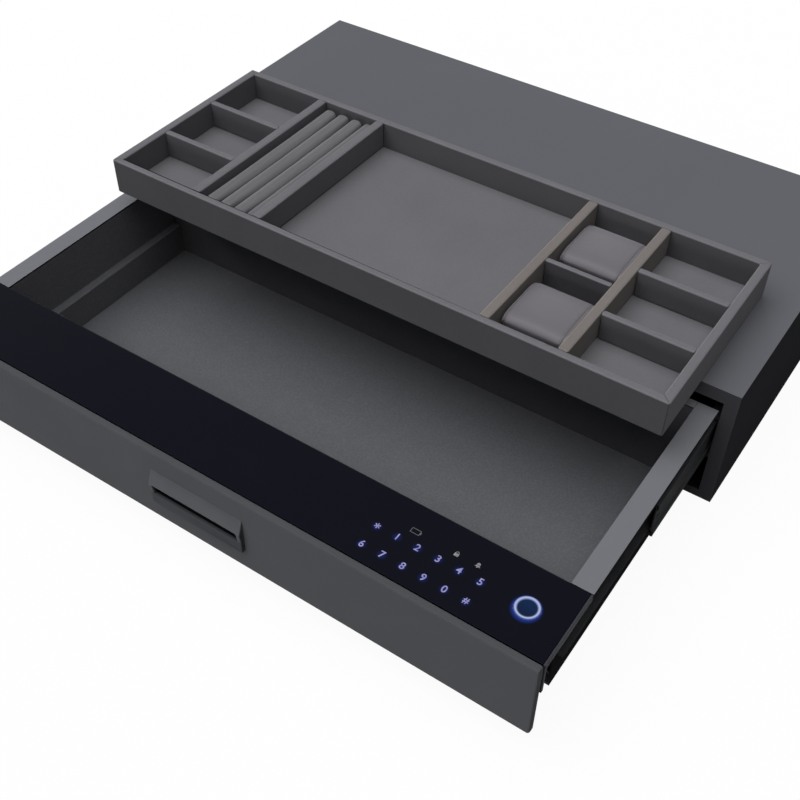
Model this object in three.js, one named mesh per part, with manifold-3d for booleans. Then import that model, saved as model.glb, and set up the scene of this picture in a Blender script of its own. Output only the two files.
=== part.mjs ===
// Under desk drawer safe: a steel casing, a drawer on full extension ball slides with a touch
// keypad and a fingerprint reader on its front ledge, and a lift-out jewellery tray on the casing.
// Millimetres, +Z up, the front faces -Y. The origin is the centre of the casing's underside.
import * as THREE from "three";
import { mergeVertices } from "three/addons/utils/BufferGeometryUtils.js";
import Module from "manifold-3d";

const wasm = await Module();
wasm.setup();

// Clearances
const seatGap = 0.3;
const holeClearance = 0.4;
const rimClearance = 2.2;
const panelClearance = 2.8;
const drawerUnderGap = 2.3;
const drawerOverGap = 9.2;
const traySideClearance = 1.65;
const trayEndClearance = 2.4;
const housingSideGap = 2;

// Casing
const casingWidth = 630;
const casingDepth = 325;
const casingHeight = 126;
const casingSheet = 2.5;
const frameSideWidth = 12.2;
const frameTopHeight = 13;
const frameBottomHeight = 8.5;
const linerSheet = 1.5;
const backPanelSheet = 1.5;
const backPanelFlange = 12;
const anchorHoleRadius = 3.5;
const anchorAccessRadius = 8;
const anchorSpacingX = 460;
const anchorSpacingY = 80;
const anchorFromFront = 70;

// Ball slides: u runs from the casing wall to the drawer, w up from the slide's centre line
const slideThickness = 12.7;
const slideHeight = 45;
const slideSheet = 1.3;
const slideLift = 59.5;
const outerSlideLength = 300;
const outerSlideSetback = 4;
const middleSlideLength = 290;
const middleSlideSetback = 5;
const middleRibDepth = 1.4;
const middleRibHeight = 5.5;
const slideMouth = 1.9;
const ballGap = 2.5;
const webGap = 1;
const innerWebGap = 1.3;
const cageSheet = 0.45;
const outerCageLength = 100;
const outerCageFront = 69;
const innerCageLength = 80;
const innerCageFront = 64;
const slideHoleRadius = 2.5;
const slideHoleFromEnd = 6;
const slideHoleCount = 4;

// Drawer, in its closed place: y = 0 is the casing's front face
const drawerTravel = 216.5;
const drawerSheet = 1.5;
const tubFrontLength = 25.5;
const interiorDepth = 208.5;
const rimLip = 5;
const upperLining = 5.2;
const ledgeWidth = 7.8;
const ledgeHeight = 31.8;
const wiringSpace = 4.3;
const falseFloorSheet = 1.6;
const backSheet = 1.5;
const backRimDepth = 8;

// Front panel and pull
const controlDepth = 68.5;
const panelHeight = 79.8;
const panelDepth = 6.8;
const panelSheet = 1.5;
const hardPlate = 3;
const hardPlateMargin = 3;
const pullWidth = 93;
const pullHeight = 36.2;
const pullBelowTop = 20.6;
const pullLipProjection = 5.4;
const pullLipHeight = 14.2;
const pullPlateProjection = 4;
const pullPlateHeight = 12;
const pullWall = 1.8;
const pullCupDepth = 12;
const pullFlange = 2;
const pullFloorDrop = 4;

// Control ledge
const glassThickness = 4;
const glassEdge = 2;
const deckSheet = 2;
const deckFlange = 3;
const deckFlangeDrop = 34;
const housingWall = 2;
const housingLift = 26;
const keypadFromEnd = 114;
const keypadFromFront = 30.7;
const keypadBoardWidth = 112;
const keypadBoardDepth = 46;
const keypadBoardThickness = 1.6;
const keypadWindowMargin = 6;
const readerFromEnd = 32.7;
const readerFromFront = 33.5;
const readerRadius = 7.4;
const readerRingRadius = 10;
const readerBaseRadius = 13;
const readerBaseHeight = 6;

// Batteries
const cellRadius = 7.2;
const cellLength = 50;
const cellButtonRadius = 2.7;
const cellButtonLength = 1.3;
const cellsAcross = 2;
const cellsUp = 2;
const holderWall = 1.5;
const holderFromBack = 1;
const holderLift = 42;
const doorMargin = 2.5;
const doorThickness = 2;
const doorPinRadius = 2;
const doorEarWidth = 5;
const doorPinInset = 0.2;

// Lock on the drawer's back
const lockCaseHalfWidth = 45;
const lockCaseDepth = 40;
const lockCaseHeight = 54;
const lockSheet = 1.5;
const boltRadius = 6;
const boltThrow = 10;
const boltHeadroom = 1.8;
const boltProud = 1.2;
const boltFromBack = 30;
const boltShank = 22;
const rackBarWidth = 8;
const rackBarHeight = 25;
const gearModule = 1;
const pinionTeeth = 12;
const pinionWidth = 6;
const pinionDrop = 32;
const toothThinning = 0.3;
const pressureAngle = THREE.MathUtils.degToRad(20);
const shaftRadius = 2;
const motorRadius = 9;
const keeperWidth = 44;
const keeperDepth = 40;
const keeperSheet = 4;
const keeperGap = 2;

// Lift-out tray
const trayHeight = 35.5;
const trayOverhang = 74.4;
const traySideWall = 8;
const trayEndWall = 7;
const trayBaseLift = 1;
const trayCompartmentDepth = 26.7;
const dividerThickness = 9;
const crossThickness = 6;
const watchCrossThickness = 5;
const leftColumnWidth = 83.5;
const ringSectionWidth = 60.7;
const rightColumnWidth = 80.7;
const watchBayWidth = 61.6;
const rowDepths = [55.5, 60];
const watchBayFrontDepth = 90.7;
const rollCount = 4;
const rollPitch = 15.6;
const rollGap = 0.4;
const rollFromDivider = 2.75;
const rollBelowRim = 3;
const rollRoundness = 3.6;
const rollEndRound = 6;
const rollEndDraw = 3.5;
const pillowSideGap = 1.2;
const pillowLength = 60;
const pillowBelowRim = 5;
const pillowRoundness = 2.9;
const pillowCrown = 1;
const pillowEndRound = 4;
const pillowEndDraw = 2.4;
const cushionSeam = 0.4;

// Photo colours
const colours = {
  casing: "#5f6165",
  panel: "#757579",
  dark: "#232226",
  glass: "#12131c",
  zinc: "#6c6e70",
  lining: "#5c5b5f",
  board: "#1d3a2a",
  cell: "#b8772d",
  plastic: "#1d1d1f",
  steel: "#8d8f92",
  brass: "#b08d4a",
  ring: "#9fc4ff",
  tray: "#6e6e70",
  pillow: "#75747a",
  trim: "#6b655d",
};

function finish(colour, roughness, metalness) {
  return { color: colours[colour], roughness, metalness };
}

const finishes = {
  casingPaint: finish("casing", 0.6, 0.1),
  panelPaint: finish("panel", 0.55, 0.1),
  darkPaint: finish("dark", 0.6, 0.2),
  touchGlass: finish("glass", 0.08, 0),
  slideSteel: finish("dark", 0.4, 0.8),
  zincSteel: finish("zinc", 0.45, 0.8),
  lining: finish("lining", 0.9, 0),
  circuitBoard: finish("board", 0.5, 0),
  cellJacket: finish("cell", 0.4, 0.3),
  blackPlastic: finish("plastic", 0.5, 0),
  boltSteel: finish("steel", 0.3, 0.9),
  brass: finish("brass", 0.35, 0.9),
  glowRing: finish("ring", 0.3, 0),
  trayCloth: finish("tray", 0.9, 0),
  pillowCloth: finish("pillow", 0.85, 0),
  trimCloth: finish("trim", 0.9, 0),
};

// Places worked out from the sizes above
const bayHalf = casingWidth / 2 - frameSideWidth;
const bayFloor = frameBottomHeight;
const bayTop = casingHeight - frameTopHeight;
const tubHalf = bayHalf - slideThickness - seatGap;
const tubBottom = bayFloor + drawerUnderGap;
const rimTop = bayTop - drawerOverGap;
const rimHalf = bayHalf - rimClearance;
const interiorHalf = tubHalf - drawerSheet - seatGap - upperLining;
const floorTop = tubBottom + drawerSheet + seatGap + wiringSpace + falseFloorSheet;
const ledgeTop = floorTop + ledgeHeight;
const backPlateFront = interiorDepth;
const backPlateBack = backPlateFront + backSheet;
const backRim = backPlateFront + backRimDepth;
const slideCentre = bayFloor + slideLift;
const panelHalf = bayHalf - panelClearance;
const panelFace = -controlDepth - panelDepth;
const panelBottom = rimTop - panelHeight;
const deckTop = rimTop - glassThickness - seatGap;
const deckBottom = deckTop - deckSheet;
const deckFront = -controlDepth + seatGap;
const housingHalf = tubHalf - drawerSheet - housingSideGap;
const housingFront = deckFront + deckFlange + seatGap;
const housingTop = deckBottom - seatGap;
const pullTop = rimTop - pullBelowTop;
const pullBottom = pullTop - pullHeight;
const trayHalf = interiorHalf - traySideClearance;
const trayDepth = interiorDepth - 2 * trayEndClearance;

// Geometry helpers

function block(x0, x1, y0, y1, z0, z1) {
  const geometry = new THREE.BoxGeometry(x1 - x0, y1 - y0, z1 - z0);
  return geometry.translate((x0 + x1) / 2, (y0 + y1) / 2, (z0 + z1) / 2);
}

function shapeOf(points) {
  return new THREE.Shape(points.map(([a, b]) => new THREE.Vector2(a, b)));
}

function extrude(points, depth) {
  return new THREE.ExtrudeGeometry(shapeOf(points), { depth, bevelEnabled: false });
}

// A section drawn in x and z, run along y
function alongY(points, y0, y1) {
  return extrude(points, y1 - y0)
    .rotateX(Math.PI / 2)
    .translate(0, y1, 0);
}

// A section drawn in y and z, run along x
function alongX(points, x0, x1) {
  const turn = new THREE.Matrix4().makeBasis(
    new THREE.Vector3(0, 1, 0),
    new THREE.Vector3(0, 0, 1),
    new THREE.Vector3(1, 0, 0),
  );
  return extrude(points, x1 - x0)
    .applyMatrix4(turn)
    .translate(x0, 0, 0);
}

// A round rod between two heights
function rodZ(radius, x, y, z0, z1, sides = 16) {
  return new THREE.CylinderGeometry(radius, radius, z1 - z0, sides)
    .rotateX(Math.PI / 2)
    .translate(x, y, (z0 + z1) / 2);
}

function rodY(radius, x, z, y0, y1, sides = 16) {
  return new THREE.CylinderGeometry(radius, radius, y1 - y0, sides).translate(x, (y0 + y1) / 2, z);
}

function rodX(radius, y, z, x0, x1, sides = 16) {
  return new THREE.CylinderGeometry(radius, radius, x1 - x0, sides)
    .rotateZ(-Math.PI / 2)
    .translate((x0 + x1) / 2, y, z);
}

function solidOf(geometry) {
  const bare = geometry.clone();
  bare.deleteAttribute("normal");
  bare.deleteAttribute("uv");
  const merged = mergeVertices(bare);
  const mesh = new wasm.Mesh({
    numProp: 3,
    vertProperties: new Float32Array(merged.attributes.position.array),
    triVerts: new Uint32Array(merged.index.array),
  });
  return new wasm.Manifold(mesh);
}

function geometryOf(solid) {
  const mesh = solid.getMesh();
  const indexed = new THREE.BufferGeometry();
  indexed.setAttribute("position", new THREE.BufferAttribute(mesh.vertProperties, 3));
  indexed.setIndex(new THREE.BufferAttribute(mesh.triVerts, 1));
  const geometry = indexed.toNonIndexed();
  geometry.computeVertexNormals();
  return geometry;
}

function cut(geometry, ...tools) {
  const left = tools.reduce((solid, tool) => solid.subtract(solidOf(tool)), solidOf(geometry));
  return geometryOf(left);
}

function join(...geometries) {
  const [first, ...rest] = geometries.map(solidOf);
  return geometryOf(rest.reduce((solid, other) => solid.add(other), first));
}

function piece(name, geometry, look) {
  const mesh = new THREE.Mesh(geometry, new THREE.MeshStandardMaterial(look));
  mesh.name = name;
  return mesh;
}

function groupOf(...children) {
  const group = new THREE.Group();
  group.add(...children);
  return group;
}

const overcut = 1;
const sides = [
  { name: "left", sign: -1 },
  { name: "right", sign: 1 },
];

// Casing

function anchorHoles(radius, z0, z1) {
  const holes = [];
  for (const x of [-anchorSpacingX / 2, anchorSpacingX / 2]) {
    for (const y of [-anchorSpacingY / 2, anchorSpacingY / 2]) {
      holes.push(rodZ(radius, x, anchorFromFront + y, z0, z1));
    }
  }
  return holes;
}

function casingShell() {
  const half = casingWidth / 2;
  const inner = half - casingSheet;
  const top = casingHeight - casingSheet;
  return cut(
    block(-half, half, 0, casingDepth, 0, casingHeight),
    block(-inner, inner, casingSheet, casingDepth + overcut, casingSheet, top),
    block(-bayHalf, bayHalf, -overcut, casingSheet + overcut, bayFloor, bayTop),
    ...anchorHoles(anchorHoleRadius, top - overcut, casingHeight + overcut),
  );
}

function casingBackPanel() {
  const half = casingWidth / 2 - casingSheet - seatGap;
  const bottom = casingSheet + seatGap;
  const top = casingHeight - casingSheet - seatGap;
  const front = casingDepth - backPanelFlange;
  const sheet = backPanelSheet;
  return cut(
    block(-half, half, front, casingDepth, bottom, top),
    block(
      -half + sheet,
      half - sheet,
      front - overcut,
      casingDepth - sheet,
      bottom + sheet,
      top - sheet,
    ),
  );
}

const linerBack = casingDepth - backPanelFlange - seatGap;

function topLiner() {
  const half = casingWidth / 2 - casingSheet - seatGap;
  const bottom = bayTop + seatGap;
  const top = casingHeight - casingSheet - seatGap;
  const section = [
    [-half, bottom],
    [half, bottom],
    [half, top],
    [half - linerSheet, top],
    [half - linerSheet, bottom + linerSheet],
    [-half + linerSheet, bottom + linerSheet],
    [-half + linerSheet, top],
    [-half, top],
  ];
  return cut(
    alongY(section, casingSheet + seatGap, linerBack),
    ...anchorHoles(anchorAccessRadius, bottom - overcut, bottom + linerSheet + overcut),
  );
}

function sideChannel(sign) {
  const near = bayHalf;
  const far = casingWidth / 2 - casingSheet - seatGap;
  const section = [
    [near, bayFloor],
    [far, bayFloor],
    [far, bayFloor + linerSheet],
    [near + linerSheet, bayFloor + linerSheet],
    [near + linerSheet, bayTop - linerSheet],
    [far, bayTop - linerSheet],
    [far, bayTop],
    [near, bayTop],
  ].map(([x, z]) => [sign * x, z]);
  return alongY(section, casingSheet + seatGap, linerBack);
}

const boltY = backPlateBack + boltFromBack;
const boltTop = bayTop - boltHeadroom - boltThrow;
const keeperBottom = boltTop + keeperGap;

function boltKeeper() {
  const halfX = keeperWidth / 2;
  const halfY = keeperDepth / 2;
  const top = bayTop;
  const inner = halfX - keeperSheet;
  return cut(
    block(-halfX, halfX, boltY - halfY, boltY + halfY, keeperBottom, top),
    block(
      -inner,
      inner,
      boltY - halfY - overcut,
      boltY + halfY + overcut,
      keeperBottom + keeperSheet,
      top + overcut,
    ),
    rodZ(boltRadius + holeClearance, 0, boltY, keeperBottom - overcut, top),
  );
}

function makeCasing() {
  return groupOf(
    piece("casing_shell", casingShell(), finishes.casingPaint),
    piece("casing_back_panel", casingBackPanel(), finishes.casingPaint),
    piece("top_liner", topLiner(), finishes.darkPaint),
    ...sides.map(({ name, sign }) =>
      piece(`side_channel_${name}`, sideChannel(sign), finishes.darkPaint),
    ),
    piece("bolt_keeper", boltKeeper(), finishes.boltSteel),
  );
}

// Ball slides

const halfSlide = slideHeight / 2;
const middleHalf = halfSlide - slideSheet - ballGap;
const innerHalf = middleHalf - slideSheet - ballGap;
const outerWeb = seatGap + slideSheet;
const middleRib = outerWeb + webGap;
const middleWeb = middleRib + middleRibDepth;
const innerTip = middleWeb + slideSheet + innerWebGap;
const mouth = slideThickness - slideMouth;

// Turns a section in u and w into one in x and z on the left or the right of the bay
function slideSection(points, sign) {
  return points.map(([u, w]) => [sign * (bayHalf - u), slideCentre + w]);
}

function mirrorUp(points) {
  const lower = points.map(([u, w]) => [u, -w]).reverse();
  return [...points, ...lower];
}

const slideSections = {
  outer: mirrorUp([
    [seatGap, 0],
    [seatGap, halfSlide],
    [mouth, halfSlide],
    [mouth, halfSlide - slideSheet],
    [outerWeb, halfSlide - slideSheet],
    [outerWeb, 0],
  ]),
  middle: mirrorUp([
    [middleWeb, 0],
    [middleWeb, middleHalf - middleRibHeight - middleRibDepth],
    [middleRib, middleHalf - middleRibHeight],
    [middleRib, middleHalf],
    [mouth, middleHalf],
    [mouth, middleHalf - slideSheet],
    [middleRib + slideSheet, middleHalf - slideSheet],
    [middleRib + slideSheet, middleHalf - middleRibHeight],
    [middleWeb + slideSheet, middleHalf - middleRibHeight - middleRibDepth],
    [middleWeb + slideSheet, 0],
  ]),
  inner: mirrorUp([
    [slideThickness, 0],
    [slideThickness, innerHalf],
    [innerTip, innerHalf],
    [innerTip, innerHalf - slideSheet],
    [slideThickness - slideSheet, innerHalf - slideSheet],
    [slideThickness - slideSheet, 0],
  ]),
  outerCage: mirrorUp([
    [outerWeb + seatGap, 0],
    [outerWeb + seatGap, halfSlide - slideSheet - seatGap],
    [mouth - slideSheet, halfSlide - slideSheet - seatGap],
    [mouth - slideSheet, middleHalf + seatGap],
    [outerWeb + seatGap + cageSheet, middleHalf + seatGap],
    [outerWeb + seatGap + cageSheet, 0],
  ]),
  innerCage: mirrorUp([
    [innerTip - seatGap - cageSheet, 0],
    [innerTip - seatGap - cageSheet, middleHalf - slideSheet - seatGap],
    [mouth - seatGap, middleHalf - slideSheet - seatGap],
    [mouth - seatGap, innerHalf + seatGap],
    [innerTip - seatGap, innerHalf + seatGap],
    [innerTip - seatGap, 0],
  ]),
};

function withoutRepeats(points) {
  return points.filter(([a, b], i) => {
    const [c, d] = points[(i + points.length - 1) % points.length];
    return Math.hypot(a - c, b - d) > 1e-6;
  });
}

function slideMember(section, sign, y0, length, drilled) {
  const member = alongY(slideSection(withoutRepeats(section), sign), y0, y0 + length);
  if (!drilled) return member;
  const pitch = (length - 2 * slideHoleFromEnd) / (slideHoleCount - 1);
  const holes = [];
  for (let i = 0; i < slideHoleCount; i++) {
    const y = y0 + slideHoleFromEnd + i * pitch;
    const [x0, x1] = [sign * tubHalf, sign * (bayHalf + overcut)].sort((a, b) => a - b);
    holes.push(rodX(slideHoleRadius, y, slideCentre, x0, x1, 10));
  }
  return cut(member, ...holes);
}

const innerSlideFront = -tubFrontLength;
const innerSlideLength = backPlateBack - innerSlideFront - 2 * seatGap;

function slidePieces(kind, y0, length, look, drilled = true) {
  return sides.map(({ name, sign }) => {
    const geometry = slideMember(slideSections[kind.section], sign, y0, length, drilled);
    return piece(`${kind.name}_${name}`, geometry, look);
  });
}

function makeSlides() {
  const outer = slidePieces(
    { name: "slide_outer", section: "outer" },
    outerSlideSetback,
    outerSlideLength,
    finishes.slideSteel,
  );
  const middle = slidePieces(
    { name: "slide_middle", section: "middle" },
    middleSlideSetback,
    middleSlideLength,
    finishes.slideSteel,
  );
  const outerCages = slidePieces(
    { name: "slide_cage_outer", section: "outerCage" },
    outerCageFront,
    outerCageLength,
    finishes.zincSteel,
    false,
  );
  const innerCages = slidePieces(
    { name: "slide_cage_inner", section: "innerCage" },
    innerCageFront,
    innerCageLength,
    finishes.zincSteel,
    false,
  );
  const middleGroup = groupOf(...middle);
  const outerCageGroup = groupOf(...outerCages);
  const innerCageGroup = groupOf(...innerCages);
  middleGroup.position.y = -drawerTravel / 2;
  outerCageGroup.position.y = -drawerTravel / 4;
  innerCageGroup.position.y = (-drawerTravel * 3) / 4;
  return groupOf(...outer, middleGroup, outerCageGroup, innerCageGroup);
}

// Drawer body

function drawerTub() {
  const inside = tubHalf - drawerSheet;
  const frontWallTop = housingLift - seatGap;
  const half = [
    [tubHalf, tubBottom],
    [tubHalf, rimTop - drawerSheet],
    [rimHalf - drawerSheet, rimTop - drawerSheet],
    [rimHalf - drawerSheet, rimTop - rimLip],
    [rimHalf, rimTop - rimLip],
    [rimHalf, rimTop],
    [interiorHalf, rimTop],
    [interiorHalf, rimTop - drawerSheet],
    [inside, rimTop - drawerSheet],
    [inside, tubBottom + drawerSheet],
  ];
  const other = half.map(([x, z]) => [-x, z]).reverse();
  const body = join(
    alongY([...half, ...other], -tubFrontLength, backRim),
    block(
      -inside - drawerSheet / 2,
      inside + drawerSheet / 2,
      -tubFrontLength + seatGap,
      -tubFrontLength + seatGap + drawerSheet,
      tubBottom + drawerSheet / 2,
      frontWallTop,
    ),
  );
  return cut(
    body,
    block(
      -casingWidth,
      casingWidth,
      -tubFrontLength - overcut,
      seatGap,
      deckBottom - seatGap,
      rimTop + overcut,
    ),
  );
}

function drawerBackPlate() {
  const half = tubHalf - drawerSheet - seatGap;
  const flangeHalf = interiorHalf - seatGap;
  const notchBottom = rimTop - drawerSheet - seatGap;
  const section = [
    [backPlateFront, tubBottom + drawerSheet + seatGap],
    [backPlateBack, tubBottom + drawerSheet + seatGap],
    [backPlateBack, rimTop - backSheet],
    [backRim, rimTop - backSheet],
    [backRim, rimTop],
    [backPlateFront, rimTop],
  ];
  const notches = sides.map(({ sign }) => {
    const [x0, x1] = [sign * flangeHalf, sign * (half + overcut)].sort((m, n) => m - n);
    const y0 = backPlateFront - overcut;
    return block(x0, x1, y0, backRim + overcut, notchBottom, rimTop + overcut);
  });
  return cut(alongX(section, -half, half), ...notches);
}

function sideLining(sign) {
  const outside = tubHalf - drawerSheet - seatGap;
  const ledge = interiorHalf - ledgeWidth;
  const bottom = tubBottom + drawerSheet + seatGap;
  const top = rimTop - drawerSheet - seatGap;
  const section = [
    [outside, bottom],
    [outside, top],
    [interiorHalf, top],
    [interiorHalf, ledgeTop],
    [ledge, ledgeTop],
    [ledge, bottom],
  ].map(([x, z]) => [sign * x, z]);
  return alongY(section, seatGap, backPlateFront - seatGap);
}

function falseFloor() {
  const half = interiorHalf - ledgeWidth - seatGap;
  const inner = half - falseFloorSheet;
  const bottom = tubBottom + drawerSheet + seatGap;
  const section = [
    [half, bottom],
    [half, floorTop],
    [-half, floorTop],
    [-half, bottom],
    [-inner, bottom],
    [-inner, floorTop - falseFloorSheet],
    [inner, floorTop - falseFloorSheet],
    [inner, bottom],
  ];
  const front = -tubFrontLength + drawerSheet + 2 * seatGap;
  return alongY(section, front, backPlateFront - seatGap);
}

// Front panel and pull

function pullHole(margin, y0, y1) {
  const halfX = pullWidth / 2 - pullFlange + margin;
  const bottom = pullBottom + pullFlange - margin;
  return block(-halfX, halfX, y0, y1, bottom, pullTop - pullFlange + margin);
}

function frontPanel() {
  const back = panelFace + panelDepth;
  return cut(
    block(-panelHalf, panelHalf, panelFace, back, panelBottom, rimTop),
    block(
      -panelHalf + panelSheet,
      panelHalf - panelSheet,
      panelFace + panelSheet,
      back + overcut,
      panelBottom + panelSheet,
      rimTop - panelSheet,
    ),
    pullHole(holeClearance, panelFace - overcut, panelFace + panelSheet + overcut),
  );
}

function hardPlateBlank() {
  const half = panelHalf - hardPlateMargin;
  const front = panelFace + panelSheet + seatGap;
  return cut(
    block(
      -half,
      half,
      front,
      front + hardPlate,
      panelBottom + hardPlateMargin,
      rimTop - hardPlateMargin,
    ),
    pullHole(holeClearance, front - overcut, front + hardPlate + overcut),
  );
}

function pullHandle() {
  const seat = panelFace - seatGap;
  const lipBottom = pullTop - pullLipHeight;
  const plateTop = pullBottom + pullPlateHeight;
  const cupBack = panelFace + pullCupDepth;
  const cupTop = pullTop - pullFlange;
  const cupBottom = pullBottom + pullFlange;
  const half = pullWidth / 2;
  const outline = [
    [seat, pullTop],
    [panelFace - pullLipProjection, lipBottom],
    [panelFace - pullPlateProjection, plateTop],
    [panelFace - pullPlateProjection, pullBottom],
    [seat, pullBottom],
  ];
  const cup = block(
    -half + pullFlange,
    half - pullFlange,
    seat - seatGap,
    cupBack,
    cupBottom,
    cupTop,
  );
  const lipSlope = (pullLipProjection - seatGap) / pullLipHeight;
  const pocketTop = cupTop - pullWall;
  const pocketTopY = seat - (pullTop - pocketTop) * lipSlope + pullWall;
  const pocket = [
    [panelFace - pullLipProjection - overcut, lipBottom],
    [panelFace - pullLipProjection + pullWall, lipBottom],
    [pocketTopY, pocketTop],
    [cupBack - pullWall, pocketTop],
    [cupBack - pullWall, plateTop - pullFloorDrop],
    [panelFace, plateTop],
    [panelFace - pullLipProjection - overcut, plateTop],
  ];
  const pocketHalf = half - pullFlange - pullWall;
  return cut(
    join(alongX(outline, -half, half), cup),
    alongX(pocket, -pocketHalf, pocketHalf),
  );
}

// Control ledge

const keypadCentreX = rimHalf - keypadFromEnd;
const keypadY = -controlDepth + keypadFromFront;
const readerCentreX = rimHalf - readerFromEnd;
const readerY = -controlDepth + readerFromFront;

function controlDeck() {
  const back = -seatGap;
  const edge = rimHalf - glassEdge + seatGap;
  const flangeBottom = rimTop - deckFlangeDrop;
  const windowX = keypadBoardWidth / 2 - keypadWindowMargin;
  const windowY = keypadBoardDepth / 2 - keypadWindowMargin;
  return cut(
    block(-rimHalf, rimHalf, deckFront, back, flangeBottom, rimTop),
    block(-edge, edge, deckFront - overcut, back + overcut, deckTop, rimTop + overcut),
    block(
      -rimHalf - overcut,
      rimHalf + overcut,
      deckFront + deckFlange,
      back + overcut,
      flangeBottom - overcut,
      deckBottom,
    ),
    block(
      keypadCentreX - windowX,
      keypadCentreX + windowX,
      keypadY - windowY,
      keypadY + windowY,
      deckBottom - overcut,
      deckTop + overcut,
    ),
    rodZ(
      readerRingRadius + holeClearance,
      readerCentreX,
      readerY,
      deckBottom - overcut,
      deckTop + overcut,
      24,
    ),
    pullHole(2 * holeClearance, deckFront - overcut, deckFront + deckFlange + overcut),
  );
}

function touchGlass() {
  const half = rimHalf - glassEdge;
  return cut(
    block(-half, half, deckFront, 0, deckTop + seatGap, rimTop),
    rodZ(
      readerRingRadius + holeClearance,
      readerCentreX,
      readerY,
      deckTop - overcut,
      rimTop + overcut,
      24,
    ),
  );
}

function fingerprintReader() {
  const seat = deckBottom - seatGap;
  const profile = [
    [0, seat - readerBaseHeight],
    [readerBaseRadius, seat - readerBaseHeight],
    [readerBaseRadius, seat],
    [readerRadius, seat],
    [readerRadius, rimTop - holeClearance],
    [0, rimTop - holeClearance],
  ].map(([r, z]) => new THREE.Vector2(r, z));
  return new THREE.LatheGeometry(profile, 24).rotateX(Math.PI / 2).translate(readerCentreX, readerY, 0);
}

function fingerprintRing() {
  const inside = readerRadius + seatGap;
  const bottom = deckBottom;
  const profile = [
    [inside, bottom],
    [readerRingRadius, bottom],
    [readerRingRadius, rimTop],
    [inside, rimTop],
    [inside, bottom],
  ].map(([r, z]) => new THREE.Vector2(r, z));
  return new THREE.LatheGeometry(profile, 24).rotateX(Math.PI / 2).translate(readerCentreX, readerY, 0);
}

function keypadBoard() {
  const top = deckBottom - seatGap;
  return block(
    keypadCentreX - keypadBoardWidth / 2,
    keypadCentreX + keypadBoardWidth / 2,
    keypadY - keypadBoardDepth / 2,
    keypadY + keypadBoardDepth / 2,
    top - keypadBoardThickness,
    top,
  );
}

// Batteries, in the control housing behind a door that opens into the drawer

const cellPitchX = cellLength + cellButtonLength + seatGap;
const cellPitchZ = 2 * cellRadius + seatGap;
const holderHalf = (cellsAcross * cellPitchX + seatGap) / 2 + holderWall;
const holderDepth = 2 * cellRadius + 2 * seatGap + holderWall;
const holderHeight = cellsUp * cellPitchZ + seatGap + 2 * holderWall;
const holderBack = -holderFromBack;
const holderFront = holderBack - holderDepth;
const holderBottom = holderLift;
const doorHalf = holderHalf + doorMargin;
const doorBottom = holderBottom - doorMargin;
const doorTop = holderBottom + holderHeight + doorMargin;
const doorPinZ = doorTop + doorPinRadius;
const housingBack = -2 * seatGap;
const doorFront = housingBack + seatGap;
const doorPinY = doorFront + doorPinRadius + doorPinInset;

function batteryHolder() {
  const inner = holderHalf - holderWall;
  return cut(
    block(
      -holderHalf,
      holderHalf,
      holderFront,
      holderBack,
      holderBottom,
      holderBottom + holderHeight,
    ),
    block(
      -inner,
      inner,
      holderFront + holderWall,
      holderBack + overcut,
      holderBottom + holderWall,
      holderBottom + holderHeight - holderWall,
    ),
  );
}

function batteryCell() {
  const profile = [
    [0, 0],
    [cellRadius, 0],
    [cellRadius, cellLength],
    [cellButtonRadius, cellLength],
    [cellButtonRadius, cellLength + cellButtonLength],
    [0, cellLength + cellButtonLength],
  ].map(([r, y]) => new THREE.Vector2(r, y));
  return new THREE.LatheGeometry(profile, 14).rotateZ(-Math.PI / 2);
}

function makeBatteries() {
  const cells = [];
  const y = holderFront + holderWall + seatGap + cellRadius;
  for (let column = 0; column < cellsAcross; column++) {
    for (let row = 0; row < cellsUp; row++) {
      const number = column * cellsUp + row + 1;
      const cell = piece(`battery_${number}`, batteryCell(), finishes.cellJacket);
      const x = -holderHalf + holderWall + seatGap + column * cellPitchX;
      const z = holderBottom + holderWall + seatGap + cellRadius + row * cellPitchZ;
      cell.position.set(x, y, z);
      cells.push(cell);
    }
  }
  return cells;
}

function batteryDoor() {
  return join(
    block(-doorHalf, doorHalf, doorFront, doorFront + doorThickness, doorBottom, doorPinZ),
    rodX(doorPinRadius, doorPinY, doorPinZ, -doorHalf - doorEarWidth, doorHalf + doorEarWidth, 12),
  );
}

function controlHousing() {
  const top = housingTop;
  const back = housingBack;
  const wall = housingWall;
  const earOuter = doorHalf + seatGap + doorEarWidth;
  const earSize = doorPinRadius + wall;
  const ears = [-1, 1].map((sign) => {
    const [x0, x1] = [sign * (doorHalf + seatGap), sign * earOuter].sort((a, b) => a - b);
    return block(x0, x1, back - wall / 2, doorPinY + earSize, doorPinZ - earSize, doorPinZ + earSize);
  });
  return cut(
    join(block(-housingHalf, housingHalf, housingFront, back, housingLift, top), ...ears),
    block(
      -housingHalf + wall,
      housingHalf - wall,
      housingFront + wall,
      back - wall,
      housingLift + wall,
      top + overcut,
    ),
    block(
      -holderHalf - seatGap,
      holderHalf + seatGap,
      holderFront,
      back + overcut,
      holderBottom - seatGap,
      holderBottom + holderHeight + seatGap,
    ),
    pullHole(2 * holeClearance, housingFront - overcut, housingFront + wall + overcut),
    rodX(doorPinRadius + seatGap, doorPinY, doorPinZ, -earOuter - overcut, earOuter + overcut, 12),
  );
}

// Lock: a motor turns a pinion that throws a racked bolt up into the keeper

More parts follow.
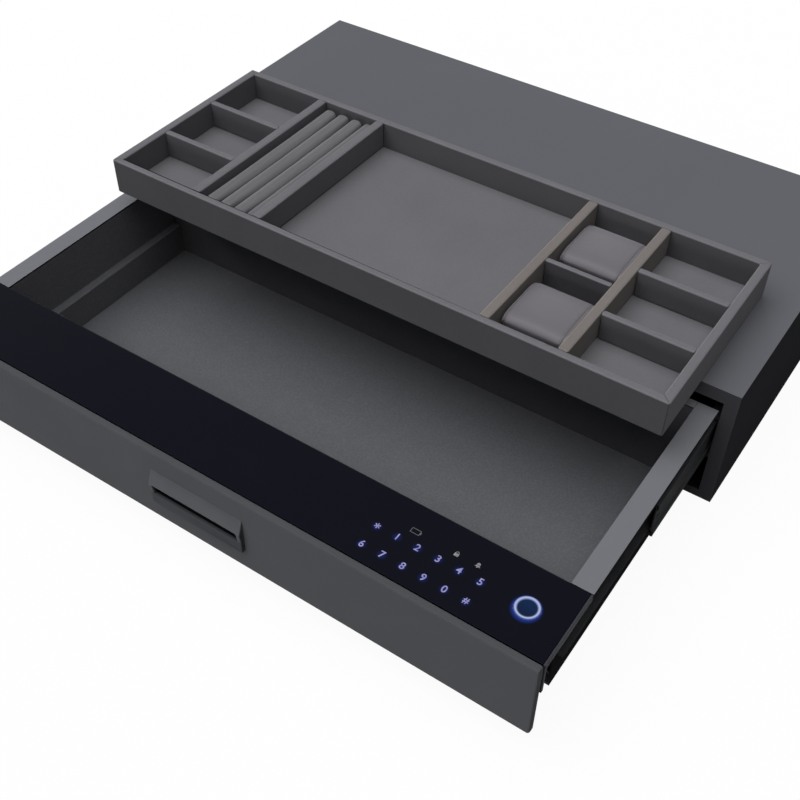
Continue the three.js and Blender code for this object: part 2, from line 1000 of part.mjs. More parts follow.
const lockTop = boltTop - boltProud;
const lockBottom = lockTop - lockCaseHeight;
const lockFront = backPlateBack + seatGap;
const lockBack = lockFront + lockCaseDepth;
const pitchRadius = (gearModule * pinionTeeth) / 2;
const addendum = gearModule * 0.95;
const dedendum = gearModule * 1.25;
const toothPitch = Math.PI * gearModule;
const pinionZ = lockTop - pinionDrop;
const rackRootX = boltRadius - dedendum;
const pinionX = boltRadius + pitchRadius;
const pinionFront = boltY - pinionWidth / 2;
const bulkheadBack = pinionFront - seatGap;
const bulkheadFront = bulkheadBack - lockSheet;

function lockCase() {
  const half = lockCaseHalfWidth;
  const sheet = lockSheet;
  const box = cut(
    block(-half, half, lockFront, lockBack, lockBottom, lockTop),
    block(
      -half + sheet,
      half - sheet,
      lockFront + sheet,
      lockBack + overcut,
      lockBottom + sheet,
      lockTop - sheet,
    ),
    rodZ(boltRadius + holeClearance, 0, boltY, lockTop - sheet - overcut, lockTop + overcut),
  );
  const bulkheadLeft = pinionX - pitchRadius + addendum;
  const bulkhead = cut(
    block(
      bulkheadLeft,
      half - sheet / 2,
      bulkheadFront,
      bulkheadBack,
      lockBottom + sheet / 2,
      pinionZ + motorRadius,
    ),
    rodY(shaftRadius + seatGap, pinionX, pinionZ, bulkheadFront - overcut, bulkheadBack + overcut, 12),
  );
  return join(box, bulkhead);
}

function lockCover() {
  const half = lockCaseHalfWidth;
  const front = lockBack + seatGap;
  return block(-half, half, front, front + lockSheet, lockBottom, lockTop);
}

function lockMotor() {
  const front = lockFront + lockSheet + seatGap;
  const back = bulkheadFront - seatGap;
  return cut(
    rodY(motorRadius, pinionX, pinionZ, front, back, 20),
    rodY(shaftRadius + seatGap, pinionX, pinionZ, (front + back) / 2, back + overcut, 12),
  );
}

// One tooth flank's half width at a height above the pitch line
function toothHalfWidth(height) {
  return toothPitch / 4 - toothThinning / 2 - height * Math.tan(pressureAngle);
}

function lockPinion() {
  const points = [];
  for (let i = 0; i < pinionTeeth; i++) {
    const middle = ((i + 0.5) * 2 * Math.PI) / pinionTeeth;
    for (const [side, height] of [
      [-1, -dedendum],
      [-1, addendum],
      [1, addendum],
      [1, -dedendum],
    ]) {
      const radius = pitchRadius + height;
      const angle = middle + (side * toothHalfWidth(height)) / radius;
      points.push([pinionX + radius * Math.cos(angle), pinionZ + radius * Math.sin(angle)]);
    }
  }
  const motorMiddle = (lockFront + lockSheet + bulkheadFront) / 2;
  return join(
    alongY(points, pinionFront, pinionFront + pinionWidth),
    rodY(shaftRadius, pinionX, pinionZ, motorMiddle + seatGap, lockBack - seatGap, 12),
  );
}

function lockBolt() {
  const barTop = boltTop - boltShank;
  const barBottom = barTop - rackBarHeight;
  const halfY = rackBarWidth / 2;
  const teeth = [];
  const most = Math.floor((rackBarHeight / 2 - toothPitch / 2) / toothPitch);
  for (let i = -most; i <= most; i++) {
    const z = pinionZ + i * toothPitch;
    const root = toothHalfWidth(-dedendum - gearModule);
    const tip = toothHalfWidth(addendum);
    teeth.push(
      alongY(
        [
          [rackRootX - gearModule, z - root],
          [boltRadius + addendum, z - tip],
          [boltRadius + addendum, z + tip],
          [rackRootX - gearModule, z + root],
        ],
        boltY - pinionWidth / 2,
        boltY + pinionWidth / 2,
      ),
    );
  }
  return join(
    rodZ(boltRadius, 0, boltY, barTop, boltTop, 20),
    block(-rackRootX, rackRootX, boltY - halfY, boltY + halfY, barBottom, barTop + overcut),
    ...teeth,
  );
}

function makeDrawer() {
  const inner = slidePieces(
    { name: "slide_inner", section: "inner" },
    innerSlideFront,
    innerSlideLength,
    finishes.slideSteel,
  );
  const drawer = groupOf(
    piece("drawer_tub", drawerTub(), finishes.panelPaint),
    piece("drawer_back_plate", drawerBackPlate(), finishes.panelPaint),
    ...sides.map(({ name, sign }) =>
      piece(`side_lining_${name}`, sideLining(sign), finishes.lining),
    ),
    piece("false_floor", falseFloor(), finishes.lining),
    piece("front_panel", frontPanel(), finishes.panelPaint),
    piece("hard_plate", hardPlateBlank(), finishes.boltSteel),
    piece("pull_handle", pullHandle(), finishes.panelPaint),
    piece("control_deck", controlDeck(), finishes.panelPaint),
    piece("control_housing", controlHousing(), finishes.blackPlastic),
    piece("touch_glass", touchGlass(), finishes.touchGlass),
    piece("fingerprint_reader", fingerprintReader(), finishes.blackPlastic),
    piece("fingerprint_ring", fingerprintRing(), finishes.glowRing),
    piece("keypad_board", keypadBoard(), finishes.circuitBoard),
    piece("battery_holder", batteryHolder(), finishes.blackPlastic),
    ...makeBatteries(),
    piece("battery_door", batteryDoor(), finishes.blackPlastic),
    piece("lock_case", lockCase(), finishes.zincSteel),
    piece("lock_cover", lockCover(), finishes.zincSteel),
    piece("lock_motor", lockMotor(), finishes.boltSteel),
    piece("lock_pinion", lockPinion(), finishes.brass),
    piece("lock_bolt", lockBolt(), finishes.boltSteel),
    ...inner,
  );
  drawer.position.y = -drawerTravel;
  return drawer;
}

// Lift-out tray, in its own frame: x from its middle, y from its front, z from its underside

const trayInner = trayHalf - traySideWall;
const trayFloor = trayHeight - trayCompartmentDepth;
const trayFrontInner = trayEndWall;
const trayBackInner = trayDepth - trayEndWall;

const longDividerStarts = [
  -trayInner + leftColumnWidth,
  -trayInner + leftColumnWidth + dividerThickness + ringSectionWidth,
  trayInner - rightColumnWidth - 2 * dividerThickness - watchBayWidth,
  trayInner - rightColumnWidth - dividerThickness,
];

function trayRim() {
  return cut(
    block(-trayHalf, trayHalf, 0, trayDepth, 0, trayHeight),
    block(-trayInner, trayInner, trayFrontInner, trayBackInner, -overcut, trayHeight + overcut),
  );
}

function trayBase() {
  const half = trayInner - seatGap;
  return block(
    -half,
    half,
    trayFrontInner + seatGap,
    trayBackInner - seatGap,
    trayBaseLift,
    trayFloor,
  );
}

function longDivider(index) {
  const start = longDividerStarts[index];
  return block(
    start,
    start + dividerThickness,
    trayFrontInner + seatGap,
    trayBackInner - seatGap,
    trayFloor + seatGap,
    trayHeight,
  );
}

function crossDivider(x0, x1, middle, thickness) {
  return block(
    x0 + seatGap,
    x1 - seatGap,
    middle - thickness / 2,
    middle + thickness / 2,
    trayFloor + seatGap,
    trayHeight,
  );
}

// A stuffed cushion lying along x: a crowned, rounded section whose ends draw in past a sewn seam
function cushion({ length, width, height, crown, roundness, endRound, endDraw, stations, ringPoints }) {
  const halfLength = length / 2;
  const positions = [];
  const index = [];
  const rounded = (value) => Math.sign(value) * Math.abs(value) ** (2 / roundness);
  for (let i = 0; i <= stations; i++) {
    const t = -Math.cos((Math.PI * i) / stations);
    const x = halfLength * t;
    const intoEnd = Math.max(0, Math.abs(x) - halfLength + endRound) / endRound;
    const seam = i === 1 || i === stations - 1 ? cushionSeam : 0;
    const draw = endDraw * (1 - Math.sqrt(1 - intoEnd ** 2)) - seam;
    const sink = crown * t * t;
    for (let j = 0; j < ringPoints; j++) {
      const angle = (2 * Math.PI * j) / ringPoints;
      const up = Math.max(0, Math.sin(angle));
      const y = (width / 2 - draw - cushionSeam) * rounded(Math.cos(angle));
      const z = (height / 2 - draw - cushionSeam) * rounded(Math.sin(angle)) - sink * up;
      positions.push(x, y, z);
    }
  }
  for (let i = 0; i < stations; i++) {
    for (let j = 0; j < ringPoints; j++) {
      const here = i * ringPoints;
      const next = (j + 1) % ringPoints;
      const [a, b] = [here + j, here + next];
      const [c, d] = [b + ringPoints, a + ringPoints];
      index.push(a, b, d, b, c, d);
    }
  }
  const last = stations * ringPoints;
  for (let j = 1; j < ringPoints - 1; j++) {
    index.push(0, j + 1, j);
    index.push(last, last + j, last + j + 1);
  }
  const geometry = new THREE.BufferGeometry();
  geometry.setAttribute("position", new THREE.Float32BufferAttribute(positions, 3));
  geometry.setIndex(index);
  geometry.computeVertexNormals();
  return geometry;
}

const watchBayLeft = longDividerStarts[2] + dividerThickness;
const watchCrossMiddle = trayFrontInner + watchBayFrontDepth + watchCrossThickness / 2;
const cushionSeat = trayFloor + seatGap;

function makeRingRolls() {
  const length = trayBackInner - trayFrontInner - 2 * seatGap;
  const height = trayHeight - rollBelowRim - cushionSeat;
  const start = longDividerStarts[0] + dividerThickness + rollFromDivider;
  const end = longDividerStarts[1] - seatGap;
  const rolls = [];
  for (let i = 0; i < rollCount; i++) {
    const left = start + i * rollPitch;
    const right = Math.min(left + rollPitch - rollGap, end);
    const geometry = cushion({
      length,
      width: right - left,
      height,
      crown: 0,
      roundness: rollRoundness,
      endRound: rollEndRound,
      endDraw: rollEndDraw,
      stations: 12,
      ringPoints: 20,
    });
    const roll = piece(`ring_roll_${i + 1}`, geometry, finishes.pillowCloth);
    roll.rotation.z = Math.PI / 2;
    roll.position.set(
      (left + right) / 2,
      (trayFrontInner + trayBackInner) / 2,
      cushionSeat + height / 2,
    );
    rolls.push(roll);
  }
  return rolls;
}

function makeWatchPillows() {
  const height = trayHeight - pillowBelowRim - cushionSeat;
  const halfCross = watchCrossThickness / 2;
  const bays = [
    { name: "front", front: trayFrontInner, back: watchCrossMiddle - halfCross },
    { name: "back", front: watchCrossMiddle + halfCross, back: trayBackInner },
  ];
  return bays.map(({ name, front, back }) => {
    const geometry = cushion({
      length: watchBayWidth - 2 * pillowSideGap,
      width: pillowLength,
      height,
      crown: pillowCrown,
      roundness: pillowRoundness,
      endRound: pillowEndRound,
      endDraw: pillowEndDraw,
      stations: 16,
      ringPoints: 28,
    });
    const pillow = piece(`watch_pillow_${name}`, geometry, finishes.pillowCloth);
    pillow.position.set(
      watchBayLeft + watchBayWidth / 2,
      (front + back) / 2,
      cushionSeat + height / 2,
    );
    return pillow;
  });
}

function makeCrossDividers() {
  const columns = [
    { name: "left", x0: -trayInner, x1: longDividerStarts[0] },
    { name: "right", x0: longDividerStarts[3] + dividerThickness, x1: trayInner },
  ];
  const pieces = [];
  for (const { name, x0, x1 } of columns) {
    let front = trayFrontInner;
    rowDepths.forEach((depth, row) => {
      front += depth;
      const geometry = crossDivider(x0, x1, front + crossThickness / 2, crossThickness);
      pieces.push(piece(`cross_divider_${name}_${row + 1}`, geometry, finishes.trayCloth));
      front += crossThickness;
    });
  }
  const watchRight = watchBayLeft + watchBayWidth;
  const watch = crossDivider(watchBayLeft, watchRight, watchCrossMiddle, watchCrossThickness);
  pieces.push(piece("cross_divider_watch", watch, finishes.trayCloth));
  return pieces;
}

function makeTray() {
  const dividers = longDividerStarts.map((_, i) => {
    const look = i < 2 ? finishes.trayCloth : finishes.trimCloth;
    return piece(`long_divider_${i + 1}`, longDivider(i), look);
  });
  const tray = groupOf(
    piece("tray_rim", trayRim(), finishes.trayCloth),
    piece("tray_base", trayBase(), finishes.trayCloth),
    ...dividers,
    ...makeCrossDividers(),
    ...makeRingRolls(),
    ...makeWatchPillows(),
  );
  tray.position.set(0, -trayOverhang, casingHeight + seatGap);
  return tray;
}

const frontPlane = groupOf(makeCasing(), makeSlides(), makeDrawer(), makeTray());
frontPlane.position.y = -casingDepth / 2;

const safe = groupOf(frontPlane);

export default safe;
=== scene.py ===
"""Dresses the under desk drawer safe: paint, cloth, keypad, cushions, small hardware and studio."""

import logging
import math
from collections.abc import Callable, Iterable, Iterator
from contextlib import contextmanager
from dataclasses import dataclass, replace
from enum import Enum

import bpy
from mathutils import Matrix, Vector


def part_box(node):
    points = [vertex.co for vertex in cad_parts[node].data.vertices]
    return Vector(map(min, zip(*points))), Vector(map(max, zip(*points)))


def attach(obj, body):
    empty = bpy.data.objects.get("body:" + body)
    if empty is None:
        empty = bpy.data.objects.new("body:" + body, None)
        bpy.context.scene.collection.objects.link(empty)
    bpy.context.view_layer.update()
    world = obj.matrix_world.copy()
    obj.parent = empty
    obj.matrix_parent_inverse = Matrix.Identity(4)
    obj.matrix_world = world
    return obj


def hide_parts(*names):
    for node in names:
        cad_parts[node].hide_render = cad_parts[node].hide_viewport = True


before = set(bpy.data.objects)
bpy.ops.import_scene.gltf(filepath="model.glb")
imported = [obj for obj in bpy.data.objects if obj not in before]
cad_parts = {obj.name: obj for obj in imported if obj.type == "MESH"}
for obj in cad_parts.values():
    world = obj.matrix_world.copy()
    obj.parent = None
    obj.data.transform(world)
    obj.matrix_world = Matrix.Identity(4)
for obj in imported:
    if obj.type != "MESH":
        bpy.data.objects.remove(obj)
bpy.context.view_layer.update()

logging.basicConfig(level=logging.INFO, format="%(message)s")
LOG = logging.getLogger("safe")
MM = 0.001
Test = Callable[[Vector], bool]
Piece = bpy.types.Object
Socket = bpy.types.NodeSocket
Level = Socket | float
Pair = tuple[float, float]
Triple = tuple[float, float, float]

# How near two places have to be to count as one, and how squarely a face has to look one way
NEAR = 0.01 * MM
FACING = 0.9
# How far a seated or printed piece stands off its face
SEAT_GAP = 0.02 * MM
# In degrees: faces that turn less than the first are made one, edges sharper than the second
# are rounded, and edges flatter than the third are shaded smooth
FLAT_ANGLE = 1
SHARP_ANGLE = 28
SMOOTH_ANGLE = 35


class Side(Enum):
    """The two sides of the safe, as the sign of x."""

    LEFT = -1
    RIGHT = 1

    @property
    def word(self) -> str:
        """The side's name as it stands in the CAD nodes."""
        return self.name.lower()


class Axis(Enum):
    """A row axis."""

    X = 0
    Y = 1
    Z = 2


# Tools for shaping meshes


def clear_selection() -> None:
    """Deselects every object, the imported CAD nodes too."""
    if bpy.context.object and bpy.context.object.mode != "OBJECT":
        bpy.ops.object.mode_set(mode="OBJECT")
    bpy.ops.object.select_all(action="DESELECT")


def take(piece: Piece) -> None:
    """Makes a piece the only selected and the active one."""
    clear_selection()
    piece.select_set(True)
    bpy.context.view_layer.objects.active = piece


@contextmanager
def editing(piece: Piece, mode: str = "FACE") -> Iterator[None]:
    """Opens a piece in edit mode with what was chosen in code still selected.

    Args:
        piece: The mesh to edit.
        mode: The select mode, VERT, EDGE or FACE.
    """
    take(piece)
    bpy.ops.object.mode_set(mode="EDIT")
    bpy.ops.mesh.select_mode(type=mode)
    yield
    bpy.ops.object.mode_set(mode="OBJECT")


def deselect(*groups: bpy.types.bpy_prop_collection) -> None:
    """Deselects all vertices, edges or faces of a mesh."""
    for group in groups:
        group.foreach_set("select", [False] * len(group))


def choose_faces(piece: Piece, test: Test) -> None:
    """Selects the faces whose normal passes a test."""
    mesh = piece.data
    deselect(mesh.vertices, mesh.edges)
    for face in mesh.polygons:
        face.select = test(face.normal)


def choose_edges(piece: Piece, test: Test) -> None:
    """Selects the edges whose middle passes a test."""
    mesh = piece.data
    deselect(mesh.vertices, mesh.polygons)
    for edge in mesh.edges:
        start, end = (mesh.vertices[i].co for i in edge.vertices)
        edge.select = test((start + end) / 2)


def settle(piece: Piece) -> Piece:
    """Puts a piece's place, turn and size into its mesh."""
    take(piece)
    bpy.ops.object.transform_apply(location=True, rotation=True, scale=True)
    return piece


def modify(piece: Piece, kind: str, **settings: object) -> None:
    """Adds a modifier and applies it at once.

    Args:
        piece: The mesh.
        kind: The modifier's type.
        **settings: Its properties.
    """
    take(piece)
    modifier = piece.modifiers.new(kind.title(), kind)
    for name, value in settings.items():
        setattr(modifier, name, value)
    bpy.ops.object.modifier_apply(modifier=modifier.name)


def round_edges(piece: Piece, radius: float, segments: int = 3) -> None:
    """Rounds all sharp edges of a piece and smooths its shading, with its flat faces kept flat.

    Args:
        piece: The mesh.
        radius: The edge radius in metres.
        segments: Steps in each rounded edge.
    """
    modify(
        piece,
        "BEVEL",
        width=radius,
        segments=segments,
        limit_method="ANGLE",
        angle_limit=math.radians(SHARP_ANGLE),
        miter_outer="MITER_ARC",
        use_clamp_overlap=True,
    )
    smooth(piece, SMOOTH_ANGLE)
    modify(piece, "WEIGHTED_NORMAL", keep_sharp=True, weight=90)


def smooth(piece: Piece, angle: float) -> None:
    """Shades a piece smooth across edges flatter than an angle in degrees."""
    take(piece)
    bpy.ops.object.shade_smooth_by_angle(angle=math.radians(angle))


def block(name: str, low: Vector, high: Vector) -> Piece:
    """Adds a box between two corners, to be shaped further.

    Args:
        name: The piece's name.
        low: Its lowest corner.
        high: Its highest corner.

    Returns:
        The new mesh, with its place in its vertices.
    """
    clear_selection()
    bpy.ops.mesh.primitive_cube_add(size=1, location=(low + high) / 2)
    piece = bpy.context.object
    piece.name = piece.data.name = name
    piece.scale = high - low
    return settle(piece)


def rod(
    name: str, centre: Vector, radius: float, length: float, axis: Axis, sides: int = 24
) -> Piece:
    """Adds a round bar along a row axis, to be shaped further.

    Args:
        name: The piece's name.
        centre: The bar's middle.
        radius: Its radius.
        length: Its length.
        axis: The axis that it lies along.
        sides: Its number of sides.

    Returns:
        The new mesh, with its place in its vertices.
    """
    turns = {Axis.X: (0, math.pi / 2, 0), Axis.Y: (math.pi / 2, 0, 0), Axis.Z: (0, 0, 0)}
    clear_selection()
    bpy.ops.mesh.primitive_cylinder_add(
        vertices=sides, radius=radius, depth=length, location=centre, rotation=turns[axis]
    )
    piece = bpy.context.object
    piece.name = piece.data.name = name
    return settle(piece)


def hollow(piece: Piece, wall: float) -> None:
    """Opens a flat piece from top to bottom, all but a wall round it."""
    choose_faces(piece, lambda normal: abs(normal.z) > FACING)
    with editing(piece):
        bpy.ops.mesh.inset(thickness=wall)
        bpy.ops.mesh.bridge_edge_loops()


def copy_of(piece: Piece, name: str, move: Vector) -> Piece:
    """Copies a finished piece with a mesh of its own, moved by a vector."""
    twin = piece.copy()
    twin.data = piece.data.copy()
    twin.name = twin.data.name = name
    bpy.context.scene.collection.objects.link(twin)
    twin.data.transform(Matrix.Translation(move))
    return twin


def join(pieces: list[Piece], name: str) -> Piece:
    """Joins finished pieces into the first of them, under a new name."""
    clear_selection()
    for piece in pieces:
        piece.select_set(True)
    bpy.context.view_layer.objects.active = pieces[0]
    bpy.ops.object.join()
    pieces[0].name = pieces[0].data.name = name
    return pieces[0]


def repeat(model: Piece, moves: Iterable[Vector], name: str) -> Piece:
    """Joins a finished piece and a copy of it at each move that leads away from it."""
    return join([model] + [copy_of(model, model.name, move) for move in moves if move.length], name)


def carve(piece: Piece, cutter: Piece) -> None:
    """Cuts one piece out of another and removes the cutter."""
    modify(piece, "BOOLEAN", operation="DIFFERENCE", solver="EXACT", object=cutter)
    bpy.data.objects.remove(cutter)


def from_solid(node: str, name: str) -> Piece:
    """Copies a CAD node's mesh, merged and with its flat faces made whole.

    Args:
        node: The CAD node.
        name: The new piece's name.

    Returns:
        The copy, ready to be finished.
    """
    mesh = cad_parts[node].data.copy()
    mesh.name = name
    mesh.materials.clear()
    for attribute in [a.name for a in mesh.attributes if a.name.startswith("custom")]:
        mesh.attributes.remove(mesh.attributes[attribute])
    piece = bpy.data.objects.new(name, mesh)
    bpy.context.scene.collection.objects.link(piece)
    with editing(piece, "VERT"):
        bpy.ops.mesh.select_all(action="SELECT")
        bpy.ops.mesh.remove_doubles(threshold=NEAR)
        bpy.ops.mesh.customdata_custom_splitnormals_clear()
        bpy.ops.mesh.dissolve_limited(angle_limit=math.radians(FLAT_ANGLE))
    return piece


# Finishes

# The stretch of a noise that a pattern uses, and how squarely a face has to look along an axis
SOFT = (0.3, 0.7)
CRISP = (0.35, 0.65)
SQUARE = (0.5, 0.95)


def linear(colour: str, gain: float = 1.0) -> tuple[float, float, float, float]:
    """Turns an sRGB hex colour into linear values.

    Args:
        colour: Six hex digits after a hash sign.
        gain: A factor on the linear values.

    Returns:
        Red, green, blue and alpha.
    """
    values = [int(colour[i : i + 2], 16) / 255 for i in (1, 3, 5)]
    lin = [v / 12.92 if v <= 0.04045 else ((v + 0.055) / 1.055) ** 2.4 for v in values]
    return (*(min(1.0, v * gain) for v in lin), 1.0)


class Nodes:
    """A node tree, with short ways to add to it."""

    def __init__(self, tree: bpy.types.NodeTree) -> None:
        """Takes the tree."""
        self.tree = tree

    def feed(self, target: Socket, value: object) -> None:
        """Links a socket to an input, or sets a constant on it."""
        if isinstance(value, Socket):
            self.tree.links.new(value, target)
        else:
            target.default_value = value

    def node(
        self, kind: str, inputs: dict[str | int, object] | None = None, **properties: object
    ) -> bpy.types.Node:
        """Adds a node.

        Args:
            kind: Its type.
            inputs: Sockets and constants for its inputs, by name or number.
            **properties: Its settings.

        Returns:
            The node.
        """
        made = self.tree.nodes.new(kind)
        for name, value in properties.items():
            setattr(made, name, value)
        for name, value in (inputs or {}).items():
            self.feed(made.inputs[name], value)
        return made

    def math(self, operation: str, a: Level, b: Level = 0.0) -> Socket:
        """A math node on two sockets or numbers."""
        return self.node("ShaderNodeMath", {0: a, 1: b}, operation=operation).outputs[0]


class Shader(Nodes):
    """A material's node tree, with short ways to add the patterns that the finishes share."""

    def __init__(self, name: str) -> None:
        """Starts a material with one Principled shader."""
        self.material = bpy.data.materials.new(name)
        self.material.use_nodes = True
        super().__init__(self.material.node_tree)
        self.surface = self.tree.nodes["Principled BSDF"]
        self.place = self.node("ShaderNodeTexCoord").outputs["Object"]

    def put(self, socket: str, value: object) -> None:
        """Puts a pattern or a constant on one of the surface's own sockets."""
        self.feed(self.surface.inputs[socket], value)

    def stretched(self, scale: Triple) -> Socket:
        """Object coordinates stretched by a scale on each axis."""
        inputs = {"Vector": self.place, "Scale": scale}
        return self.node("ShaderNodeMapping", inputs).outputs["Vector"]

    def noise(self, scale: float, detail: float = 3, vector: Socket | None = None) -> Socket:
        """A noise pattern.

        Args:
            scale: Cells in a metre.
            detail: Octaves of finer noise.
            vector: Coordinates other than the object's.

        Returns:
            The pattern's value, 0 to 1.
        """
        inputs = {"Vector": vector or self.place, "Scale": scale, "Detail": detail}
        return self.node("ShaderNodeTexNoise", inputs).outputs["Fac"]

    def ranged(
        self, value: Socket, low: float, high: float, start: float = 0, end: float = 1
    ) -> Socket:
        """Maps a value from one range to another, smoothly and held at the ends."""
        inputs = {"Value": value, "From Min": low, "From Max": high, "To Min": start, "To Max": end}
        made = self.node("ShaderNodeMapRange", inputs, interpolation_type="SMOOTHSTEP")
        return made.outputs["Result"]

    def blend(self, amount: Socket, first: object, second: object) -> Socket:
        """Mixes two colours by an amount."""
        inputs = {"Factor": amount, 6: first, 7: second}
        return self.node("ShaderNodeMix", inputs, data_type="RGBA").outputs[2]

    def dimmed(self, colour: Socket, level: Level) -> Socket:
        """Scales a colour by a level."""
        inputs = {0: colour, "Scale": level}
        return self.node("ShaderNodeVectorMath", inputs, operation="SCALE").outputs[0]

    def weighed(self, first: Socket, share: float, second: Socket, rest: float) -> Socket:
        """The sum of two patterns, each times its own weight."""
        parts = self.math("MULTIPLY", first, share), self.math("MULTIPLY", second, rest)
        return self.math("ADD", *parts)

    def apart(self, a: Level, b: Level) -> Socket:
        """How far apart two values are."""
        return self.math("ABSOLUTE", self.math("SUBTRACT", a, b))

    def split(self, vector: Socket) -> bpy.types.NodeOutputs:
        """The X, Y and Z of a vector."""
        return self.node("ShaderNodeSeparateXYZ", {0: vector}).outputs

    def facing(self, axis: str) -> Socket:
        """How squarely the surface faces along an axis, either way, 0 to 1."""
        normal = self.split(self.node("ShaderNodeTexCoord").outputs["Normal"])
        return self.math("ABSOLUTE", normal[axis])

    def toned(self, axis: str, tone: float, start: float = 1) -> Socket:
        """A tone for the faces that look along an axis, and another for the rest."""
        return self.ranged(self.facing(axis), *SQUARE, start, tone)

    def fold(self) -> Socket:
        """One on edges that turn from upright to level, zero on walls and tops."""
        flat = self.facing("Z")
        rise, fall = self.ranged(flat, 0.08, 0.4), self.ranged(flat, 0.9, 0.995, 1, 0)
        return self.math("MULTIPLY", rise, fall)

    def away_from(self, x: float, y: float) -> Socket:
        """The level distance from a point, in metres."""
        place = self.split(self.place)
        dx, dy = self.math("SUBTRACT", place["X"], x), self.math("SUBTRACT", place["Y"], y)
        return self.length(dx, dy)

    def length(self, dx: Socket, dy: Socket) -> Socket:
        """The length of a level offset."""
        squares = self.math("ADD", self.math("MULTIPLY", dx, dx), self.math("MULTIPLY", dy, dy))
        return self.math("SQRT", squares)

    def relief(
        self, height: Socket, depth: float, strength: float = 1.0, under: Socket | None = None
    ) -> Socket:
        """Lays a bump on the surface.

        Args:
            height: Its pattern.
            depth: Its depth in metres.
            strength: How much of it shows.
            under: A bump that it lies over.

        Returns:
            The bumped normal, for another bump to lie over.
        """
        inputs = {"Distance": depth, "Strength": strength, "Height": height}
        if under is not None:
            inputs["Normal"] = under
        bumped = self.node("ShaderNodeBump", inputs).outputs["Normal"]
        self.put("Normal", bumped)
        return bumped


@dataclass(frozen=True)
class Finish:
    """A surface finish of the safe. Each kind adds its own pattern."""

    name: str
    slot: str
    colour: str
    roughness: float
    metallic: float = 0.0
    specular: float = 0.3

    def material(self) -> bpy.types.Material:
        """The finish's material, made once."""
        label = f"{self.name}_finish"
        if label in bpy.data.materials:
            return bpy.data.materials[label]
        shader = Shader(label)
        shader.put("Base Color", linear(self.colour))
        shader.put("Roughness", self.roughness)
        shader.put("Metallic", self.metallic)
        shader.put("Specular IOR Level", self.specular)
        self.pattern(shader)
        return shader.material

    def pattern(self, shader: Shader) -> None:
        """Adds the finish's own detail."""

    def mottled(self, shader: Shader, value: Socket, spread: float) -> Socket:
        """The base colour, drifting lighter and darker by a share of itself."""
        return shader.blend(value, linear(self.colour, 1 - spread), linear(self.colour, 1 + spread))

    def roughen(self, shader: Shader, value: Socket, spread: float) -> None:
        """Lets the roughness drift up and down by a spread."""
        low, high = self.roughness - spread, self.roughness + spread
        shader.put("Roughness", shader.ranged(value, *SOFT, low, high))


@dataclass(frozen=True)
class PowderCoat(Finish):
    """Baked powder paint: a fine orange peel, faint clouding, folds rubbed a little lighter, and
    painted light and shade on upright walls and sideways faces.
    """

    grain: float = 1300
    depth: float = 0.00005
    clouds: float = 9
    clouding: float = 0.02
    wear: float = 70
    rub: float = 0.3
    rub_gain: float = 2.0
    painted_wall_light: float = 1.0
    painted_side_light: float = 1.0

    def pattern(self, shader: Shader) -> None:
        """Adds the clouding, the rubbed folds, the painted light and shade on walls and sides, and
        the orange peel.
        """
        cloudy = shader.ranged(shader.noise(self.clouds, 4), *SOFT)
        base = self.mottled(shader, cloudy, self.clouding)
        rubbed = shader.ranged(shader.noise(self.wear, 4), *CRISP, self.rub * 0.3, self.rub)
        rubbed = shader.math("MULTIPLY", shader.fold(), rubbed)
        worn = shader.blend(rubbed, base, linear(self.colour, self.rub_gain))
        # Painted light and shade: upright walls and faces that look along x get their own tone for
        # how the light falls on them
        walls = shader.ranged(shader.facing("Z"), 0.05, 0.6, self.painted_wall_light, 1)
        tone = shader.math("MULTIPLY", walls, shader.toned("X", self.painted_side_light))
        shader.put("Base Color", shader.dimmed(worn, tone))
        self.roughen(shader, shader.noise(38, 5), 0.05)
        shader.relief(shader.noise(self.grain, 2), self.depth, 0.5)


@dataclass(frozen=True)
class Suede(Finish):
    """Microsuede: nap brushed in soft patches, with painted shade on upright walls, a painted
    highlight along folded edges and painted light on faces that look along x.
    """

    nap: float = 900
    nap_depth: float = 0.00012
    patches: float = 26
    patch_depth: float = 0.00025
    seam_dip: float = 0.0004
    spread: float = 0.05
    painted_wall_light: float = 0.66
    painted_edge_highlight: float = 0.22
    painted_side_light: float = 0.36
    seam_tone: float = 0.7

    def pattern(self, shader: Shader) -> None:
        """Adds the brushed patches, the nap, the painted wall shade, edge highlight and side light,
        and any seams.
        """
        shader.put("Sheen Weight", 0.06)
        shader.put("Sheen Roughness", 0.5)
        brushed = shader.noise(self.patches, 5, shader.stretched((1, 0.6, 1)))
        fibres = shader.noise(self.nap, 4)
        both = shader.weighed(brushed, 0.4, fibres, 0.6)
        cloth = self.mottled(shader, shader.ranged(both, *CRISP), self.spread)
        # Painted shade on upright walls, a painted highlight along folded edges and painted light
        # on faces that look along x
        tone = shader.ranged(shader.facing("Z"), 0.05, 0.7, self.painted_wall_light, 1)
        tone = shader.math("ADD", tone, shader.math("MULTIPLY", shader.fold(), self.painted_edge_highlight))
        tone = shader.math("ADD", tone, shader.toned("X", self.painted_side_light, 0))
        seam = self.seam(shader)
        if seam is not None:
            tone = shader.math("MULTIPLY", tone, shader.ranged(seam, 0, 1, 1, self.seam_tone))
        shader.put("Base Color", shader.dimmed(cloth, tone))
        under = shader.relief(shader.noise(self.nap * 0.35, 3), self.patch_depth, 0.35)
        under = shader.relief(fibres, self.nap_depth, 0.6, under)
        if seam is not None:
            shader.relief(shader.ranged(seam, 0, 1, 1, 0), self.seam_dip, 0.8, under)

    def seam(self, shader: Shader) -> Socket | None:
        """Where the cloth is seamed: nowhere on a plain wrapped piece."""
        return None


